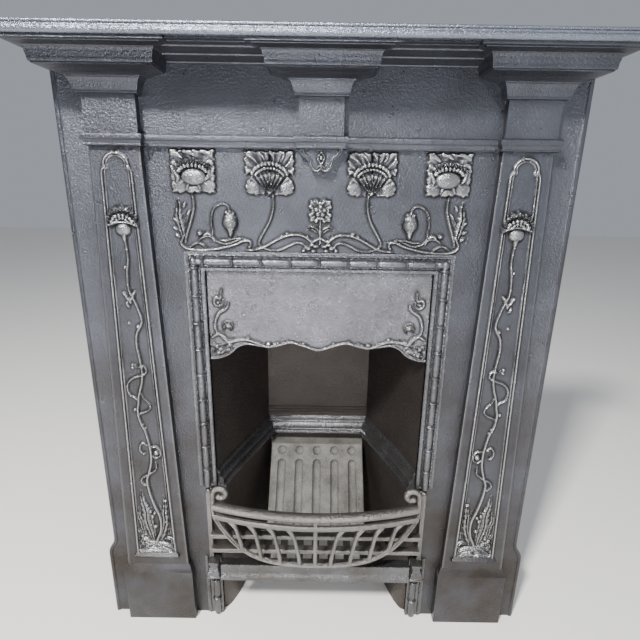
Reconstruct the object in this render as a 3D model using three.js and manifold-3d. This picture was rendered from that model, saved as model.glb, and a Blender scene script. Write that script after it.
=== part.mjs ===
// A cast-iron combination fireplace of about 1900. A flat one-piece front carries tapering pilasters,
// a frieze with three corniced blocks and a poppy panel. The mantel shelf, the wavy-edged canopy, the
// splayed fireback with its fluted clay brick, the bowed leaf-pattern front bar, the bottom grate and
// the moulded rail over the ash pit are castings of their own.
// Millimetres, +Z up. X runs across the front and the room is towards -Y. Pieces are drawn with the
// wall plane at Y = 0, and the finished group is moved so that the middle of its footprint is the origin.

import * as THREE from "three";
import { mergeVertices } from "three/addons/utils/BufferGeometryUtils.js";
import Module from "manifold-3d";

const wasm = await Module();
wasm.setup();

// Overall
const HEIGHT = 1238; // floor to the top of the mantel shelf
const WALL = 7; // thickness of the cast plates
const FIT = 0.3; // gap left between two castings that meet
const SINK = 3; // how deep an ornament is rooted in the plate behind it

// Back flange, the flat outer border that lies on the chimney breast
const FLANGE_HALF = 468;
const FLANGE_FOOT_STEP = 16; // the flange is this much wider beside the plinths
const FLANGE_RIDGE = 3; // raised bead along its outer edge

// Distances of the faces in front of the wall plane
const PANEL_FACE = 8;
const BACK_RIM = 3; // the flange bears on the wall with a rim along its outer edges
const BACK_RIM_WIDTH = 16;
const PILASTER_FACE = 24;
const PLINTH_FACE = 30;
const BLOCK_FACE = 28;
const RECESS_FACE = 12;

// Pilasters
const PILASTER_AXIS = 364.5;
const PILASTER_TOP_HALF = 45.5;
const PILASTER_FOOT_HALF = 70.5;
const PLINTH_HALF = 79;
const PLINTH_HEIGHT = 157;
const PLINTH_BEVEL_HEIGHT = 21;
const PLINTH_BEVEL = 7;
const PLINTH_BEVEL_DEPTH = 6;

// Sunk panel on each pilaster
const BORDER_TOP_HALF = 28;
const BORDER_FOOT_HALF = 45;
const BORDER_WIDTH = 5;
const BORDER_RISE = 3;
const BORDER_MARGIN = 20; // panel sill above the plinth
const BORDER_TOP_GAP = 7; // panel arch below the astragal
const SILL_HEIGHT = 14;

// Frieze
const BLOCK_HALF = 46;
const CENTRE_BLOCK_HALF = 39;
const FRIEZE_BOTTOM = 1068; // underside of the astragal
const ASTRAGAL_HEIGHT = 21;
const ASTRAGAL_RISE = 8;
const CORNICE_HEIGHT = 68;
const CORNICE_PROJECTION = 79;
const RECESS_CORNICE_HEIGHT = 17;
const RECESS_CORNICE_PROJECTION = 88;
const PENDANT_DROP = 48;
const PENDANT_FACE = 24;

// Mantel shelf
const SHELF_THICKNESS = 19;
const SHELF_OVERHANG = 7; // beyond the cornice, at the front and the ends

// Opening and its bamboo frame
const OPENING_HALF = 221;
const OPENING_TOP = 845;
const FRAME_WIDTH = 33;
const FRAME_RISE = 4;
const NOTCH_HALF = OPENING_HALF + 26; // the opening widens beside the front bar
const CANE_RADIUS = 7.5;
const CANE_INSET = 19; // cane centre line from the edge of the opening
const CANE_PITCH = 55.5;
const CANE_SIDES = 6;
const CAP_AXIS = OPENING_HALF + 13;
const CAP_BOTTOM = 130; // moulded cap where the canes meet the ash rail
const CAP_TOP = 171;
const CANE_STOP = 362; // the side canes stop here, above the posts of the front bar

// Canopy
const CANOPY_SETBACK = 4; // behind the face of the central panel
const CANOPY_LOW = 184; // depth of the canopy at its corners
const CANOPY_LIP_RADIUS = 3.6;

// Fireback
const BACK_DEPTH = 257; // wall plane to the face of the back plate
const BACK_HALF = 134;
const FIREBACK_TOP = 866;
const FIREBACK_FLANGE = 44;
const BAND_BOTTOM = 347;
const BAND_TOP = 397;
const CHEEK_BOW = 9; // the cheeks bulge outwards by this where they meet the band
// Plan of one wall below the band, from the front to the back
const LOWER_PLAN = [
  [NOTCH_HALF, 0],
  [OPENING_HALF - 8, 6],
  [OPENING_HALF - 22, 30],
  [OPENING_HALF - 37, 76],
  [OPENING_HALF - 64, 160],
  [BACK_HALF - 6, BACK_DEPTH - 10],
];
const LEDGE_WIDTH = 12;

// Bottom grate, brick and ash rail
const GRATE_TOP = 156;
const GRATE_THICKNESS = 11;
const GRATE_FRONT = 12; // in front of the wall plane
const GRATE_UNDER_BRICK = 25; // the grate reaches this far under the brick
const GRATE_SLOTS = 8;
const GRATE_SLOT_WIDTH = 20;
const BRICK_TOP_WIDTH = 246;
const BRICK_FOOT_WIDTH = 252;
const BRICK_THICKNESS = 34;
const BRICK_LENGTH = 216;
const BRICK_TOP = 331;
const BRICK_FLUTES = 5;
const BRICK_FLUTE_PITCH = 49;
const BRICK_FLUTE_RADIUS = 10.5;
const RAIL_TOP = 170;
const RAIL_FRONT = 44;
const RAIL_DROP = 38;

// Front bar
const BOW_END = 38; // bar in front of the wall plane at its ends
const BOW_CENTRE = 73;
const TOP_BAR_TOP = 328;
const TOP_BAR_HEIGHT = 13;
const TOP_BAR_DEPTH = 23;
const SECOND_BAR_TOP = 306;
const SECOND_BAR_HEIGHT = 12;
const BAR_DEPTH = 9;
const LEAF_LOW = 199; // lowest point of the leaf
const LEAF_TIP = 300; // where the leaf meets the posts
const LEAF_POWER = 4.2;
const RIBS_A_SIDE = 4;
const RIB_PITCH = 43;
const RIB_WIDTH = 6.5;
const POST_AXIS = OPENING_HALF + 8;
const POST_WIDTH = 9;
const POST_SETOFF = 12; // the posts stand this far outside the ends of the bars
const POST_REACH = 28; // how far a post stands out from the frame
const SCROLL_RADIUS = 16;
const LOWER_BARS = [240, 201];

// Values that follow from the sizes above
const SHELF_BOTTOM = HEIGHT - SHELF_THICKNESS;
const BLOCK_TOP = SHELF_BOTTOM - FIT;
const BEARING = BLOCK_FACE + CORNICE_PROJECTION;
const SHELF_HALF = PILASTER_AXIS + BLOCK_HALF + CORNICE_PROJECTION + SHELF_OVERHANG;
const SHELF_FRONT = BEARING + SHELF_OVERHANG;
const CANE_AXIS = OPENING_HALF + CANE_INSET;
const FRAME_FACE = PANEL_FACE + FRAME_RISE;
const INNER_HALF = OPENING_HALF - 1.5;
const BORDER_FOOT = PLINTH_HEIGHT + BORDER_MARGIN + SILL_HEIGHT;
const BORDER_HEAD = FRIEZE_BOTTOM - BORDER_TOP_GAP;
const POST_FOOT = CAP_TOP + FIT;
const lean = Math.acos((BRICK_TOP - GRATE_TOP) / BRICK_LENGTH);
const up = [Math.sin(lean), Math.cos(lean)];
const back = [Math.cos(lean), -Math.sin(lean)];
const brickTopY = LOWER_PLAN.at(-1)[1] - BRICK_THICKNESS * back[0];
const brickFootY = brickTopY - BRICK_LENGTH * up[0];
const GRATE_BACK = brickFootY + GRATE_UNDER_BRICK;

const material = (name, color, roughness, metalness) =>
  new THREE.MeshStandardMaterial({ name, color, roughness, metalness });
const iron = material("graphite-polished cast iron", 0x6b6b6e, 0.42, 0.85);
const clay = material("fired clay brick", 0x7d7b77, 0.9, 0.1);

// A closed three.js geometry as a manifold-3d solid
function solid(geometry) {
  const bare = geometry.index ? geometry.toNonIndexed() : geometry;
  bare.deleteAttribute("normal");
  bare.deleteAttribute("uv");
  const merged = mergeVertices(bare, 1e-4);
  return new wasm.Manifold(
    new wasm.Mesh({
      numProp: 3,
      vertProperties: merged.attributes.position.array,
      triVerts: new Uint32Array(merged.index.array),
    }),
  );
}

const join = (solids) => wasm.Manifold.union(solids);

// A solid whose skin runs through rings of points, each ring with the same number of points
function stack(rings) {
  const count = rings[0].length;
  const points = rings.flat();
  const faces = [];
  for (let r = 0; r + 1 < rings.length; r += 1) {
    for (let i = 0; i < count; i += 1) {
      const next = (i + 1) % count;
      const a = r * count + i;
      const b = r * count + next;
      faces.push([a, b, b + count], [a, b + count, a + count]);
    }
  }
  const flat = flatten(rings[0]);
  const cap = THREE.ShapeUtils.triangulateShape(flat, []);
  const last = (rings.length - 1) * count;
  for (const [a, b, c] of cap) {
    faces.push([c, b, a], [last + a, last + b, last + c]);
  }
  const geometry = new THREE.BufferGeometry();
  geometry.setAttribute(
    "position",
    new THREE.Float32BufferAttribute(points.flatMap((p) => [p.x, p.y, p.z]), 3),
  );
  geometry.setIndex(faces.flat());
  const made = solid(geometry);
  if (made.volume() >= 0) return made;
  geometry.setIndex(faces.flatMap(([a, b, c]) => [a, c, b]));
  return solid(geometry);
}

// A flat ring of points seen along the axis it faces, for cutting its cap into triangles
function flatten(ring) {
  const normal = new THREE.Vector3();
  ring.forEach((p, i) => {
    const q = ring[(i + 1) % ring.length];
    normal.x += (p.y - q.y) * (p.z + q.z);
    normal.y += (p.z - q.z) * (p.x + q.x);
    normal.z += (p.x - q.x) * (p.y + q.y);
  });
  const turn = new THREE.Quaternion().setFromUnitVectors(normal.normalize(), new THREE.Vector3(0, 0, 1));
  return ring.map((p) => {
    const q = p.clone().applyQuaternion(turn);
    return new THREE.Vector2(q.x, q.y);
  });
}

const point = (x, y, z) => new THREE.Vector3(x, y, z);

// A box between two corners; fronts are given as distances in front of the wall plane
function box(x0, x1, behind, front, z0, z1) {
  const made = new THREE.BoxGeometry(x1 - x0, front + behind, z1 - z0);
  made.translate((x0 + x1) / 2, (behind - front) / 2, (z0 + z1) / 2);
  return solid(made);
}

// A plate seen from the front: an outline in X and Z, from one distance in front of the wall to another
function plate(outline, near, far, holes = []) {
  const shape = new THREE.Shape(outline.map(([x, z]) => new THREE.Vector2(x, z)));
  for (const hole of holes) {
    shape.holes.push(new THREE.Path(hole.map(([x, z]) => new THREE.Vector2(x, z))));
  }
  const made = new THREE.ExtrudeGeometry(shape, { depth: far - near, bevelEnabled: false });
  made.rotateX(Math.PI / 2);
  made.translate(0, -near, 0);
  return solid(made);
}

// A plate with its front edge chamfered all round, for petals, leaves and labels
function reliefPlate(outline, root, rise, chamfer) {
  const shape = new THREE.Shape(outline.map(([x, z]) => new THREE.Vector2(x, z)));
  const made = new THREE.ExtrudeGeometry(shape, {
    depth: rise + SINK - 2 * chamfer,
    bevelThickness: chamfer,
    bevelSize: chamfer,
    bevelOffset: -chamfer,
    bevelSegments: 1,
  });
  made.translate(0, 0, chamfer);
  made.rotateX(Math.PI / 2);
  made.translate(0, SINK - root, 0);
  return solid(made);
}

// A moulded block against the wall: rectangular rings whose sides and front step out by the profile
function mouldedBlock(x, half, face, profile, behind = 0) {
  return stack(
    profile.map(([out, z]) => [
      point(x - half - out, behind, z),
      point(x - half - out, -face - out, z),
      point(x + half + out, -face - out, z),
      point(x + half + out, behind, z),
    ]),
  );
}

// A round rod along a smooth line through points
function rod(points, radius, steps, sides = 6) {
  const ring = Array.from({ length: sides }, (_, i) => {
    const angle = (2 * Math.PI * (i + 0.5)) / sides;
    return new THREE.Vector2(radius * Math.cos(angle), radius * Math.sin(angle));
  });
  const made = new THREE.ExtrudeGeometry(new THREE.Shape(ring), {
    steps,
    extrudePath: new THREE.CatmullRomCurve3(points),
    bevelEnabled: false,
  });
  return solid(made);
}

const blob = (x, front, z, rx, ry, rz, around = 10, up = 6) => {
  const made = new THREE.SphereGeometry(1, around, up);
  made.rotateX(Math.PI / 2);
  made.scale(rx, ry, rz);
  made.translate(x, -front, z);
  return solid(made);
};

const mirrored = (made) => made.mirror([1, 0, 0]);
const both = (made) => join([made, mirrored(made)]);

// The plates of the front: flange, central panel, pilasters, plinths and blocks
const lerp = (a, b, t) => a + (b - a) * t;

// Half width of a pilaster at a height; it tapers evenly from the plinth to the astragal
const pilasterHalf = (z) =>
  lerp(PILASTER_FOOT_HALF, PILASTER_TOP_HALF, (z - PLINTH_HEIGHT) / (FRIEZE_BOTTOM - PLINTH_HEIGHT));

const FLANGE_WIDE = FLANGE_HALF + FLANGE_FOOT_STEP;
const FLANGE_STEP = [
  [1, 11], [0.93, 23], [0.6, 33], [0.3, 40], [0.07, 48], [0, 59],
];
const flangeSide = [
  [FLANGE_WIDE, 0],
  ...FLANGE_STEP.map(([share, up]) => [
    FLANGE_HALF + share * FLANGE_FOOT_STEP,
    PLINTH_HEIGHT + up,
  ]),
  [FLANGE_HALF, BLOCK_TOP],
];
const flangeOutline = [...flangeSide, ...flangeSide.toReversed().map(([x, z]) => [-x, z])];

// One corniced block: astragal at its foot, cornice at its head, both shares of their named sizes
const CORNICE = [
  [0, 0],
  [0.09, 0.02],
  [0.1, 0.09],
  [0.15, 0.26],
  [0.19, 0.34],
  [0.36, 0.43],
  [0.49, 0.485],
  [0.62, 0.51],
  [0.66, 0.56],
  [0.68, 0.725],
  [0.71, 0.835],
  [0.8, 0.89],
  [1, 0.93],
  [1, 1],
];
const ASTRAGAL = [
  [0, 0],
  [0.55, 0.08],
  [1, 0.38],
  [1, 0.62],
  [0.55, 0.92],
  [0, 1],
];

function block(x, half, face) {
  const foot = ASTRAGAL.map(([out, up]) => [out * ASTRAGAL_RISE, FRIEZE_BOTTOM + up * ASTRAGAL_HEIGHT]);
  const head = CORNICE.map(([out, up]) => [
    out * CORNICE_PROJECTION,
    BLOCK_TOP - CORNICE_HEIGHT + up * CORNICE_HEIGHT,
  ]);
  return mouldedBlock(x, half, face, [...foot, ...head]);
}

// A moulding that runs straight across, from its profile in distance from the wall and height
function crossMoulding(x0, x1, profile) {
  return stack([x0, x1].map((x) => profile.map(([front, z]) => point(x, -front, z))));
}

// The plinth, its top chamfered back to the shaft
function plinth(x, grow = 0) {
  const ring = (inset, front, z) => [
    point(x - PLINTH_HALF - grow + inset, 0, z),
    point(x - PLINTH_HALF - grow + inset, -front - grow, z),
    point(x + PLINTH_HALF + grow - inset, -front - grow, z),
    point(x + PLINTH_HALF + grow - inset, 0, z),
  ];
  return stack([
    ring(0, PLINTH_FACE, 0),
    ring(0, PLINTH_FACE, PLINTH_HEIGHT - PLINTH_BEVEL_HEIGHT),
    ring(PLINTH_BEVEL, PLINTH_FACE - PLINTH_BEVEL_DEPTH, PLINTH_HEIGHT),
  ]);
}

// The tapering shaft; grow shrinks it evenly for its hollow
function shaft(x, grow = 0) {
  const ring = (half, z) => [
    point(x - half - grow, 0, z),
    point(x - half - grow, -PILASTER_FACE - grow, z),
    point(x + half + grow, -PILASTER_FACE - grow, z),
    point(x + half + grow, 0, z),
  ];
  return stack([
    ring(PILASTER_FOOT_HALF, PLINTH_HEIGHT - 2),
    ring(PILASTER_TOP_HALF, FRIEZE_BOTTOM + 2),
  ]);
}

// Long beads with a ball between, the bamboo frame of the opening, as one turned cane
const CANE = [
  [0.55, 0],
  [1, 0.07],
  [0.55, 0.15],
  [0.95, 0.22],
  [0.95, 0.93],
];
function cane(from, to, pitches) {
  const length = from.distanceTo(to);
  const profile = [new THREE.Vector2(0, 0)];
  for (let n = 0; n < pitches; n += 1) {
    for (const [r, up] of CANE) {
      profile.push(new THREE.Vector2(r * CANE_RADIUS, ((n + up) * length) / pitches));
    }
  }
  profile.push(new THREE.Vector2(CANE[0][0] * CANE_RADIUS, length), new THREE.Vector2(0, length));
  const made = new THREE.LatheGeometry(profile, CANE_SIDES);
  const along = to.clone().sub(from).normalize();
  made.applyQuaternion(new THREE.Quaternion().setFromUnitVectors(new THREE.Vector3(0, 1, 0), along));
  made.translate(from.x, from.y, from.z);
  return solid(made);
}

const caneFront = FRAME_FACE + CANE_RADIUS * 0.35;
const CANE_TOP = OPENING_TOP + CANE_INSET;
const sidePitches = Math.round((CANE_TOP - CANE_STOP) / CANE_PITCH);
const topPitches = Math.round((2 * CANE_AXIS) / CANE_PITCH);
const canes = [
  cane(point(-CANE_AXIS, -caneFront, CANE_TOP), point(CANE_AXIS, -caneFront, CANE_TOP), topPitches),
  both(cane(point(CANE_AXIS, -caneFront, CANE_STOP), point(CANE_AXIS, -caneFront, CANE_TOP), sidePitches)),
  both(cane(point(CAP_AXIS, -caneFront, 1), point(CAP_AXIS, -caneFront, CAP_BOTTOM + 2), 2)),
  both(blob(CANE_AXIS, caneFront, CANE_TOP, CANE_RADIUS + 1, CANE_RADIUS + 1, CANE_RADIUS + 1, 8, 6)),
];

// The flared cap that ties each pair of canes to the ash rail and carries a post of the front bar
const CAP = [
  [1, 0], [6.5, 2], [6.5, 6], [4, 16], [0, 27], [-1, 33], [2, 35], [2, 41],
];
const cap = (x) =>
  mouldedBlock(
    x,
    10,
    FRAME_FACE + 22,
    CAP.map(([out, up]) => [out, CAP_BOTTOM + (up * (CAP_TOP - CAP_BOTTOM)) / 41]),
  );

// The raised border of a pilaster's panel: tapering sides and a round head on small shoulders
function border(x) {
  const rise = BORDER_HEAD - BORDER_FOOT;
  const arch = BORDER_TOP_HALF * 0.72;
  const spring = BORDER_HEAD - arch;
  const line = (inset) => {
    const side = (z) =>
      lerp(BORDER_FOOT_HALF, BORDER_TOP_HALF, (z - BORDER_FOOT) / rise) - inset;
    const right = [
      [side(BORDER_FOOT), BORDER_FOOT + inset * 0.4],
      [side(spring - 20), spring - 20],
      [side(spring - 8), spring - 8 - inset * 0.5],
      [arch - inset, spring - 4],
    ];
    const head = Array.from({ length: 7 }, (_, i) => {
      const angle = (Math.PI * i) / 6;
      return [(arch - inset) * Math.cos(angle), spring + (arch - inset) * Math.sin(angle)];
    });
    const left = right.map(([u, z]) => [-u, z]).reverse();
    return [...right, ...head, ...left].map(([u, z]) => [x + u, z]);
  };
  return plate(line(0), PILASTER_FACE - SINK, PILASTER_FACE + BORDER_RISE, [line(BORDER_WIDTH)]);
}
const sill = (x) =>
  mouldedBlock(x, BORDER_FOOT_HALF, PILASTER_FACE, [
    [0, BORDER_FOOT - SILL_HEIGHT],
    [5, BORDER_FOOT - SILL_HEIGHT + 4],
    [5, BORDER_FOOT - 5],
    [1, BORDER_FOOT],
  ]);

// Ornament. Heights on a pilaster are above the foot of its vine, sideways places from its axis
const stem = (points, face, radius, steps) =>
  rod(points.map(([x, z]) => point(x, -face - radius * 0.2, z)), radius, steps, 4);

const VINE_FOOT = PLINTH_HEIGHT + 10;
const onPilaster = ([u, v]) => [PILASTER_AXIS - u, VINE_FOOT + v];
const VINE = [
  [0, 748], [5, 710], [0, 650], [10, 600], [17, 583], [5, 545], [8, 490], [0, 432], [-8, 380],
  [4, 334], [10, 295], [-6, 209], [4, 159], [16, 112], [14, 78], [4, 50],
];
const TENDRILS = [
  [[6, 480], [18, 474], [-10, 457], [-21, 436], [-12, 412], [-5, 405]],
  [[5, 412], [11, 390], [-7, 374]],
  [[18, 262], [10, 238], [-15, 222], [-14, 205], [-7, 200]],
  [[6, 300], [22, 300], [26, 286], [18, 276]],
];
const LEAVES = [
  [[-6, 40], [-4, 100], [-14, 150], [-10, 198], [-24, 190], [-20, 150], [-30, 120], [-24, 90], [-32, 70]],
  [[0, 40], [14, 80], [12, 130], [18, 170], [32, 178], [26, 150], [34, 130], [28, 105], [34, 88]],
  [[-22, 34], [-6, 60], [6, 64], [24, 52], [32, 30], [18, 36], [8, 46], [-6, 44], [-14, 28]],
  [[-2, 625], [12, 640], [10, 655], [1, 646], [-10, 655], [-12, 638]],
];
const SEED_HEAD = [
  [-9, 752], [9, 752], [15, 764], [16, 772], [30, 798], [22, 794], [17, 802], [8, 792],
  [0, 802], [-8, 792], [-17, 802], [-22, 794], [-30, 798], [-16, 772], [-15, 764],
];
const pilasterOrnament = join([
  stem(VINE.map(onPilaster), PILASTER_FACE, 3.4, 21),
  ...TENDRILS.map((t) => stem(t.map(onPilaster), PILASTER_FACE, 2.6, 4)),
  ...LEAVES.map((l) => reliefPlate(l.map(onPilaster), PILASTER_FACE, 3.4, 1.2)),
  reliefPlate(SEED_HEAD.map(onPilaster), PILASTER_FACE, 6, 1.5),
  blob(...onPilaster([18, 285]).toSpliced(1, 0, PILASTER_FACE), 7, 5, 9, 8, 4),
]);

// Frieze panel, right half; sideways places from the middle of the fireplace
const petals = (x, z, half) =>
  Array.from({ length: 12 }, (_, i) => {
    const angle = (2 * Math.PI * (i + 0.5)) / 12;
    const c = Math.cos(angle);
    const s = Math.sin(angle);
    const square = half / Math.pow(c ** 4 + s ** 4, 0.25);
    const r = square * (i % 3 === 1 ? 1.02 : 0.93);
    return [x + r * c, z + r * s];
  });
const FLOWER = { x: 232, z: 1025, half: 37 };
const CALYX = [
  [92, 988], [99, 1002], [122, 1026], [138, 1030], [136, 1042], [128, 1046], [122, 1060], [108, 1054],
  [94, 1064], [80, 1054], [66, 1060], [60, 1046], [51, 1042], [50, 1030], [62, 1026], [84, 1002],
];
const SERRATED_LEAF = [
  [262, 906], [270, 928], [277, 946], [271, 950], [274, 966], [267, 968], [266, 982], [258, 966],
  [260, 954], [252, 946], [257, 930],
];
const CENTRE_LEAVES = [[2, 934], [10, 926], [24, 924], [14, 918], [3, 922]];
const FRIEZE_STEMS = [
  [3.4, 6, [[236, 992], [233, 976], [237, 954], [244, 926], [256, 908]]],
  [3.4, 10, [[262, 908], [257, 892], [236, 885], [205, 887], [173, 889], [150, 898], [133, 903], [137, 888]]],
  [3, 11, [[153, 898], [186, 898], [199, 908], [204, 936], [198, 961], [181, 971], [168, 966], [168, 954]]],
  [2.6, 5, [[228, 903], [219, 913], [197, 908], [165, 904], [133, 904]]],
  [3.4, 6, [[88, 990], [87, 966], [98, 934], [112, 914], [115, 904], [112, 894]]],
  [3.2, 9, [[138, 886], [113, 889], [92, 900], [70, 912], [45, 917], [24, 910], [10, 898], [5, 888]]],
  [2.8, 6, [[105, 888], [80, 888], [58, 896], [40, 903], [29, 898], [28, 886]]],
];
const friezeOrnament = join([
  reliefPlate(petals(FLOWER.x, FLOWER.z, FLOWER.half), PANEL_FACE, 6, 1.8),
  blob(FLOWER.x, PANEL_FACE + 6, FLOWER.z - 9, 19, 6, 12, 8, 4),
  blob(FLOWER.x, PANEL_FACE + 6, FLOWER.z + 9, 22, 5, 6, 8, 4),
  reliefPlate(CALYX, PANEL_FACE, 7, 2),
  reliefPlate(SERRATED_LEAF, PANEL_FACE, 4, 1.4),
  reliefPlate(CENTRE_LEAVES, PANEL_FACE, 3.5, 1.2),
  blob(168, PANEL_FACE + 1, 934, 13, 7, 21, 8, 6),
  ...FRIEZE_STEMS.map(([radius, steps, points]) => stem(points, PANEL_FACE, radius, steps)),
]);
const ROSE = { z: 961, half: 19 };
const rose = join([
  reliefPlate(petals(0, ROSE.z, ROSE.half), PANEL_FACE, 6, 1.6),
  blob(0, PANEL_FACE + 6, ROSE.z, 8, 4, 8, 8, 4),
  stem([[0, 946], [0, 934], [0, 918]], PANEL_FACE, 3, 3),
]);

// The pendant below the middle block: two ogee sides and a two-lobed foot
const PENDANT = [
  [0.97, 0], [1, 0.16], [0.86, 0.34], [0.62, 0.46], [0.57, 0.62], [0.52, 0.82], [0.34, 0.96], [0.16, 1],
  [0, 0.9],
];
const pendantSide = PENDANT.map(([u, v]) => [u * CENTRE_BLOCK_HALF, FRIEZE_BOTTOM + 2 - v * PENDANT_DROP]);
const pendantOutline = [
  ...pendantSide,
  ...pendantSide
    .slice(0, -1)
    .reverse()
    .map(([x, z]) => [-x, z]),
];

// Everything that makes up the outside of the casting, before it is hollowed from behind
const recess = box(-PILASTER_AXIS, PILASTER_AXIS, 0, RECESS_FACE, FRIEZE_BOTTOM, BLOCK_TOP);
const FILLET = 6;
const framed = (grow, face) => [
  box(
    -OPENING_HALF - FRAME_WIDTH - grow,
    OPENING_HALF + FRAME_WIDTH + grow,
    0,
    face,
    CANE_STOP,
    OPENING_TOP + FRAME_WIDTH + grow,
  ),
  box(-OPENING_HALF - FRAME_WIDTH - grow, OPENING_HALF + FRAME_WIDTH + grow, 0, face, 0, CAP_TOP),
];
const band = crossMoulding(
  -PILASTER_AXIS,
  PILASTER_AXIS,
  [[0, FRIEZE_BOTTOM], ...ASTRAGAL.map(([out, up]) => [
    RECESS_FACE + out * ASTRAGAL_RISE,
    FRIEZE_BOTTOM + up * ASTRAGAL_HEIGHT,
  ]), [0, FRIEZE_BOTTOM + ASTRAGAL_HEIGHT]],
);
const recessTop = (front, down) => [RECESS_FACE + front, BLOCK_TOP - down];
const recessCornice = crossMoulding(-PILASTER_AXIS, PILASTER_AXIS, [
  [0, BLOCK_TOP - RECESS_CORNICE_HEIGHT],
  recessTop(0, RECESS_CORNICE_HEIGHT),
  recessTop(RECESS_CORNICE_PROJECTION * 0.1, RECESS_CORNICE_HEIGHT * 0.8),
  recessTop(RECESS_CORNICE_PROJECTION * 0.38, RECESS_CORNICE_HEIGHT * 0.66),
  recessTop(RECESS_CORNICE_PROJECTION * 0.4, RECESS_CORNICE_HEIGHT * 0.5),
  recessTop(RECESS_CORNICE_PROJECTION * 0.73, RECESS_CORNICE_HEIGHT * 0.38),
  recessTop(RECESS_CORNICE_PROJECTION * 0.75, RECESS_CORNICE_HEIGHT * 0.22),
  recessTop(RECESS_CORNICE_PROJECTION, RECESS_CORNICE_HEIGHT * 0.14),
  recessTop(RECESS_CORNICE_PROJECTION, 0),
  [0, BLOCK_TOP],
]);
const ridge = plate(flangeOutline, 0, PANEL_FACE + FLANGE_RIDGE).subtract(
  plate(
    flangeOutline.map(([x, z]) => [x - Math.sign(x) * 10, z < 1 ? z - 20 : z > BLOCK_TOP - 1 ? z + 20 : z]),
    -1,
    PANEL_FACE + FLANGE_RIDGE + 1,
  ),
);
const outside = join([
  plate(flangeOutline, 0, PANEL_FACE),
  ridge,
  recess,
  ...framed(0, FRAME_FACE),
  ...framed(FILLET, PANEL_FACE + FRAME_RISE / 2),
  band,
  recessCornice,
  both(box(FLANGE_HALF - BACK_RIM_WIDTH, FLANGE_HALF, BACK_RIM, 0, 0, BLOCK_TOP)),
  both(shaft(PILASTER_AXIS)),
  both(plinth(PILASTER_AXIS)),
  both(block(PILASTER_AXIS, BLOCK_HALF, BLOCK_FACE)),
  block(0, CENTRE_BLOCK_HALF, BLOCK_FACE),
  plate(pendantOutline, 0, PENDANT_FACE),
]);

// The hollows behind, each a wall thickness inside the form in front of it
const BACK = 20; // the cutters run this far past the back and the foot
const opening = join([
  box(-OPENING_HALF, OPENING_HALF, BACK, PLINTH_FACE + BACK, -BACK, OPENING_TOP),
  box(-NOTCH_HALF, NOTCH_HALF, BACK, PLINTH_FACE + BACK, CAP_TOP, CANE_STOP),
]);
const shaftHollow = shaft(PILASTER_AXIS, -WALL);
const plinthHollow = plinth(PILASTER_AXIS, -WALL);
const blockHollow = (x, half) =>
  mouldedBlock(
    x,
    half - WALL,
    BLOCK_FACE - WALL,
    [
      [0, FRIEZE_BOTTOM - WALL],
      [0, BLOCK_TOP - CORNICE_HEIGHT * 0.5],
      [CORNICE_PROJECTION * 0.3, BLOCK_TOP - CORNICE_HEIGHT * 0.32],
      [CORNICE_PROJECTION * 0.55, BLOCK_TOP - CORNICE_HEIGHT * 0.26],
      [CORNICE_PROJECTION * 0.55, BLOCK_TOP - WALL],
    ],
    0,
  );
const hollows = join([
  both(shaftHollow),
  both(plinthHollow.translate([0, 0, -BACK]).add(plinthHollow)),
  both(blockHollow(PILASTER_AXIS, BLOCK_HALF)),
  blockHollow(0, CENTRE_BLOCK_HALF),
  box(
    -CENTRE_BLOCK_HALF + WALL,
    CENTRE_BLOCK_HALF - WALL,
    BACK,
    PENDANT_FACE - WALL,
    FRIEZE_BOTTOM - PENDANT_DROP / 3,
    FRIEZE_BOTTOM + 5,
  ),
]);
const surround = join([
  outside.subtract(hollows).subtract(opening),
  join(canes).subtract(box(-400, 400, BACK, PANEL_FACE - WALL / 2, -BACK, HEIGHT)).subtract(opening),
  both(cap(CAP_AXIS)),
  both(border(PILASTER_AXIS)),
  both(sill(PILASTER_AXIS)).subtract(box(-500, 500, BACK, PILASTER_FACE - WALL / 2, 0, 400)),
  both(pilasterOrnament),
  both(friezeOrnament),
  rose,
]);

// The mantel shelf: a plate with a rolled edge, hollow underneath where the front carries it
const SHELF_EDGE = [
  [-7, 0], [-2, 2], [0, 6], [0, 10], [-3, 13], [-5, 14], [-5, 18], [-3, 18], [-3, 22], [-5, 24],
];
const shelfBody = mouldedBlock(
  0,
  SHELF_HALF,
  SHELF_FRONT,
  SHELF_EDGE.map(([out, up]) => [out, SHELF_BOTTOM + (up * SHELF_THICKNESS) / 24]),
);
const BEARING_RIM = 14;
const shelfHollow = (x, half) =>
  box(
    x - half - CORNICE_PROJECTION + BEARING_RIM,
    x + half + CORNICE_PROJECTION - BEARING_RIM,
    -BEARING_RIM,
    BEARING - BEARING_RIM,
    SHELF_BOTTOM - 1,
    HEIGHT - WALL,
  );
const shelf = shelfBody.subtract(
  join([shelfHollow(0, CENTRE_BLOCK_HALF), both(shelfHollow(PILASTER_AXIS, BLOCK_HALF))]),
);

// The canopy: its lower edge is a slow wave with a rolled lip like a twig
const WAVE = [
  [0, 0.11], [0.13, 0.16], [0.25, 0.19], [0.35, 0.165], [0.45, 0.15], [0.53, 0.165], [0.61, 0.185],
  [0.75, 0.125], [0.86, 0.03], [0.94, 0], [1, 0],
];
const canopyLow = OPENING_TOP - CANOPY_LOW;
const canopyFace = PANEL_FACE - CANOPY_SETBACK;
const waveSide = WAVE.map(([u, v]) => [u * INNER_HALF, canopyLow + v * CANOPY_LOW]);
const wave = [...waveSide.slice(1).reverse().map(([x, z]) => [-x, z]), ...waveSide];
const canopyOutline = [...wave, [INNER_HALF, OPENING_TOP - FIT], [-INNER_HALF, OPENING_TOP - FIT]];
const lipLine = wave.map(([x, z]) => [x * (1 - (CANOPY_LIP_RADIUS + 0.5) / INNER_HALF), z]);
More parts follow.
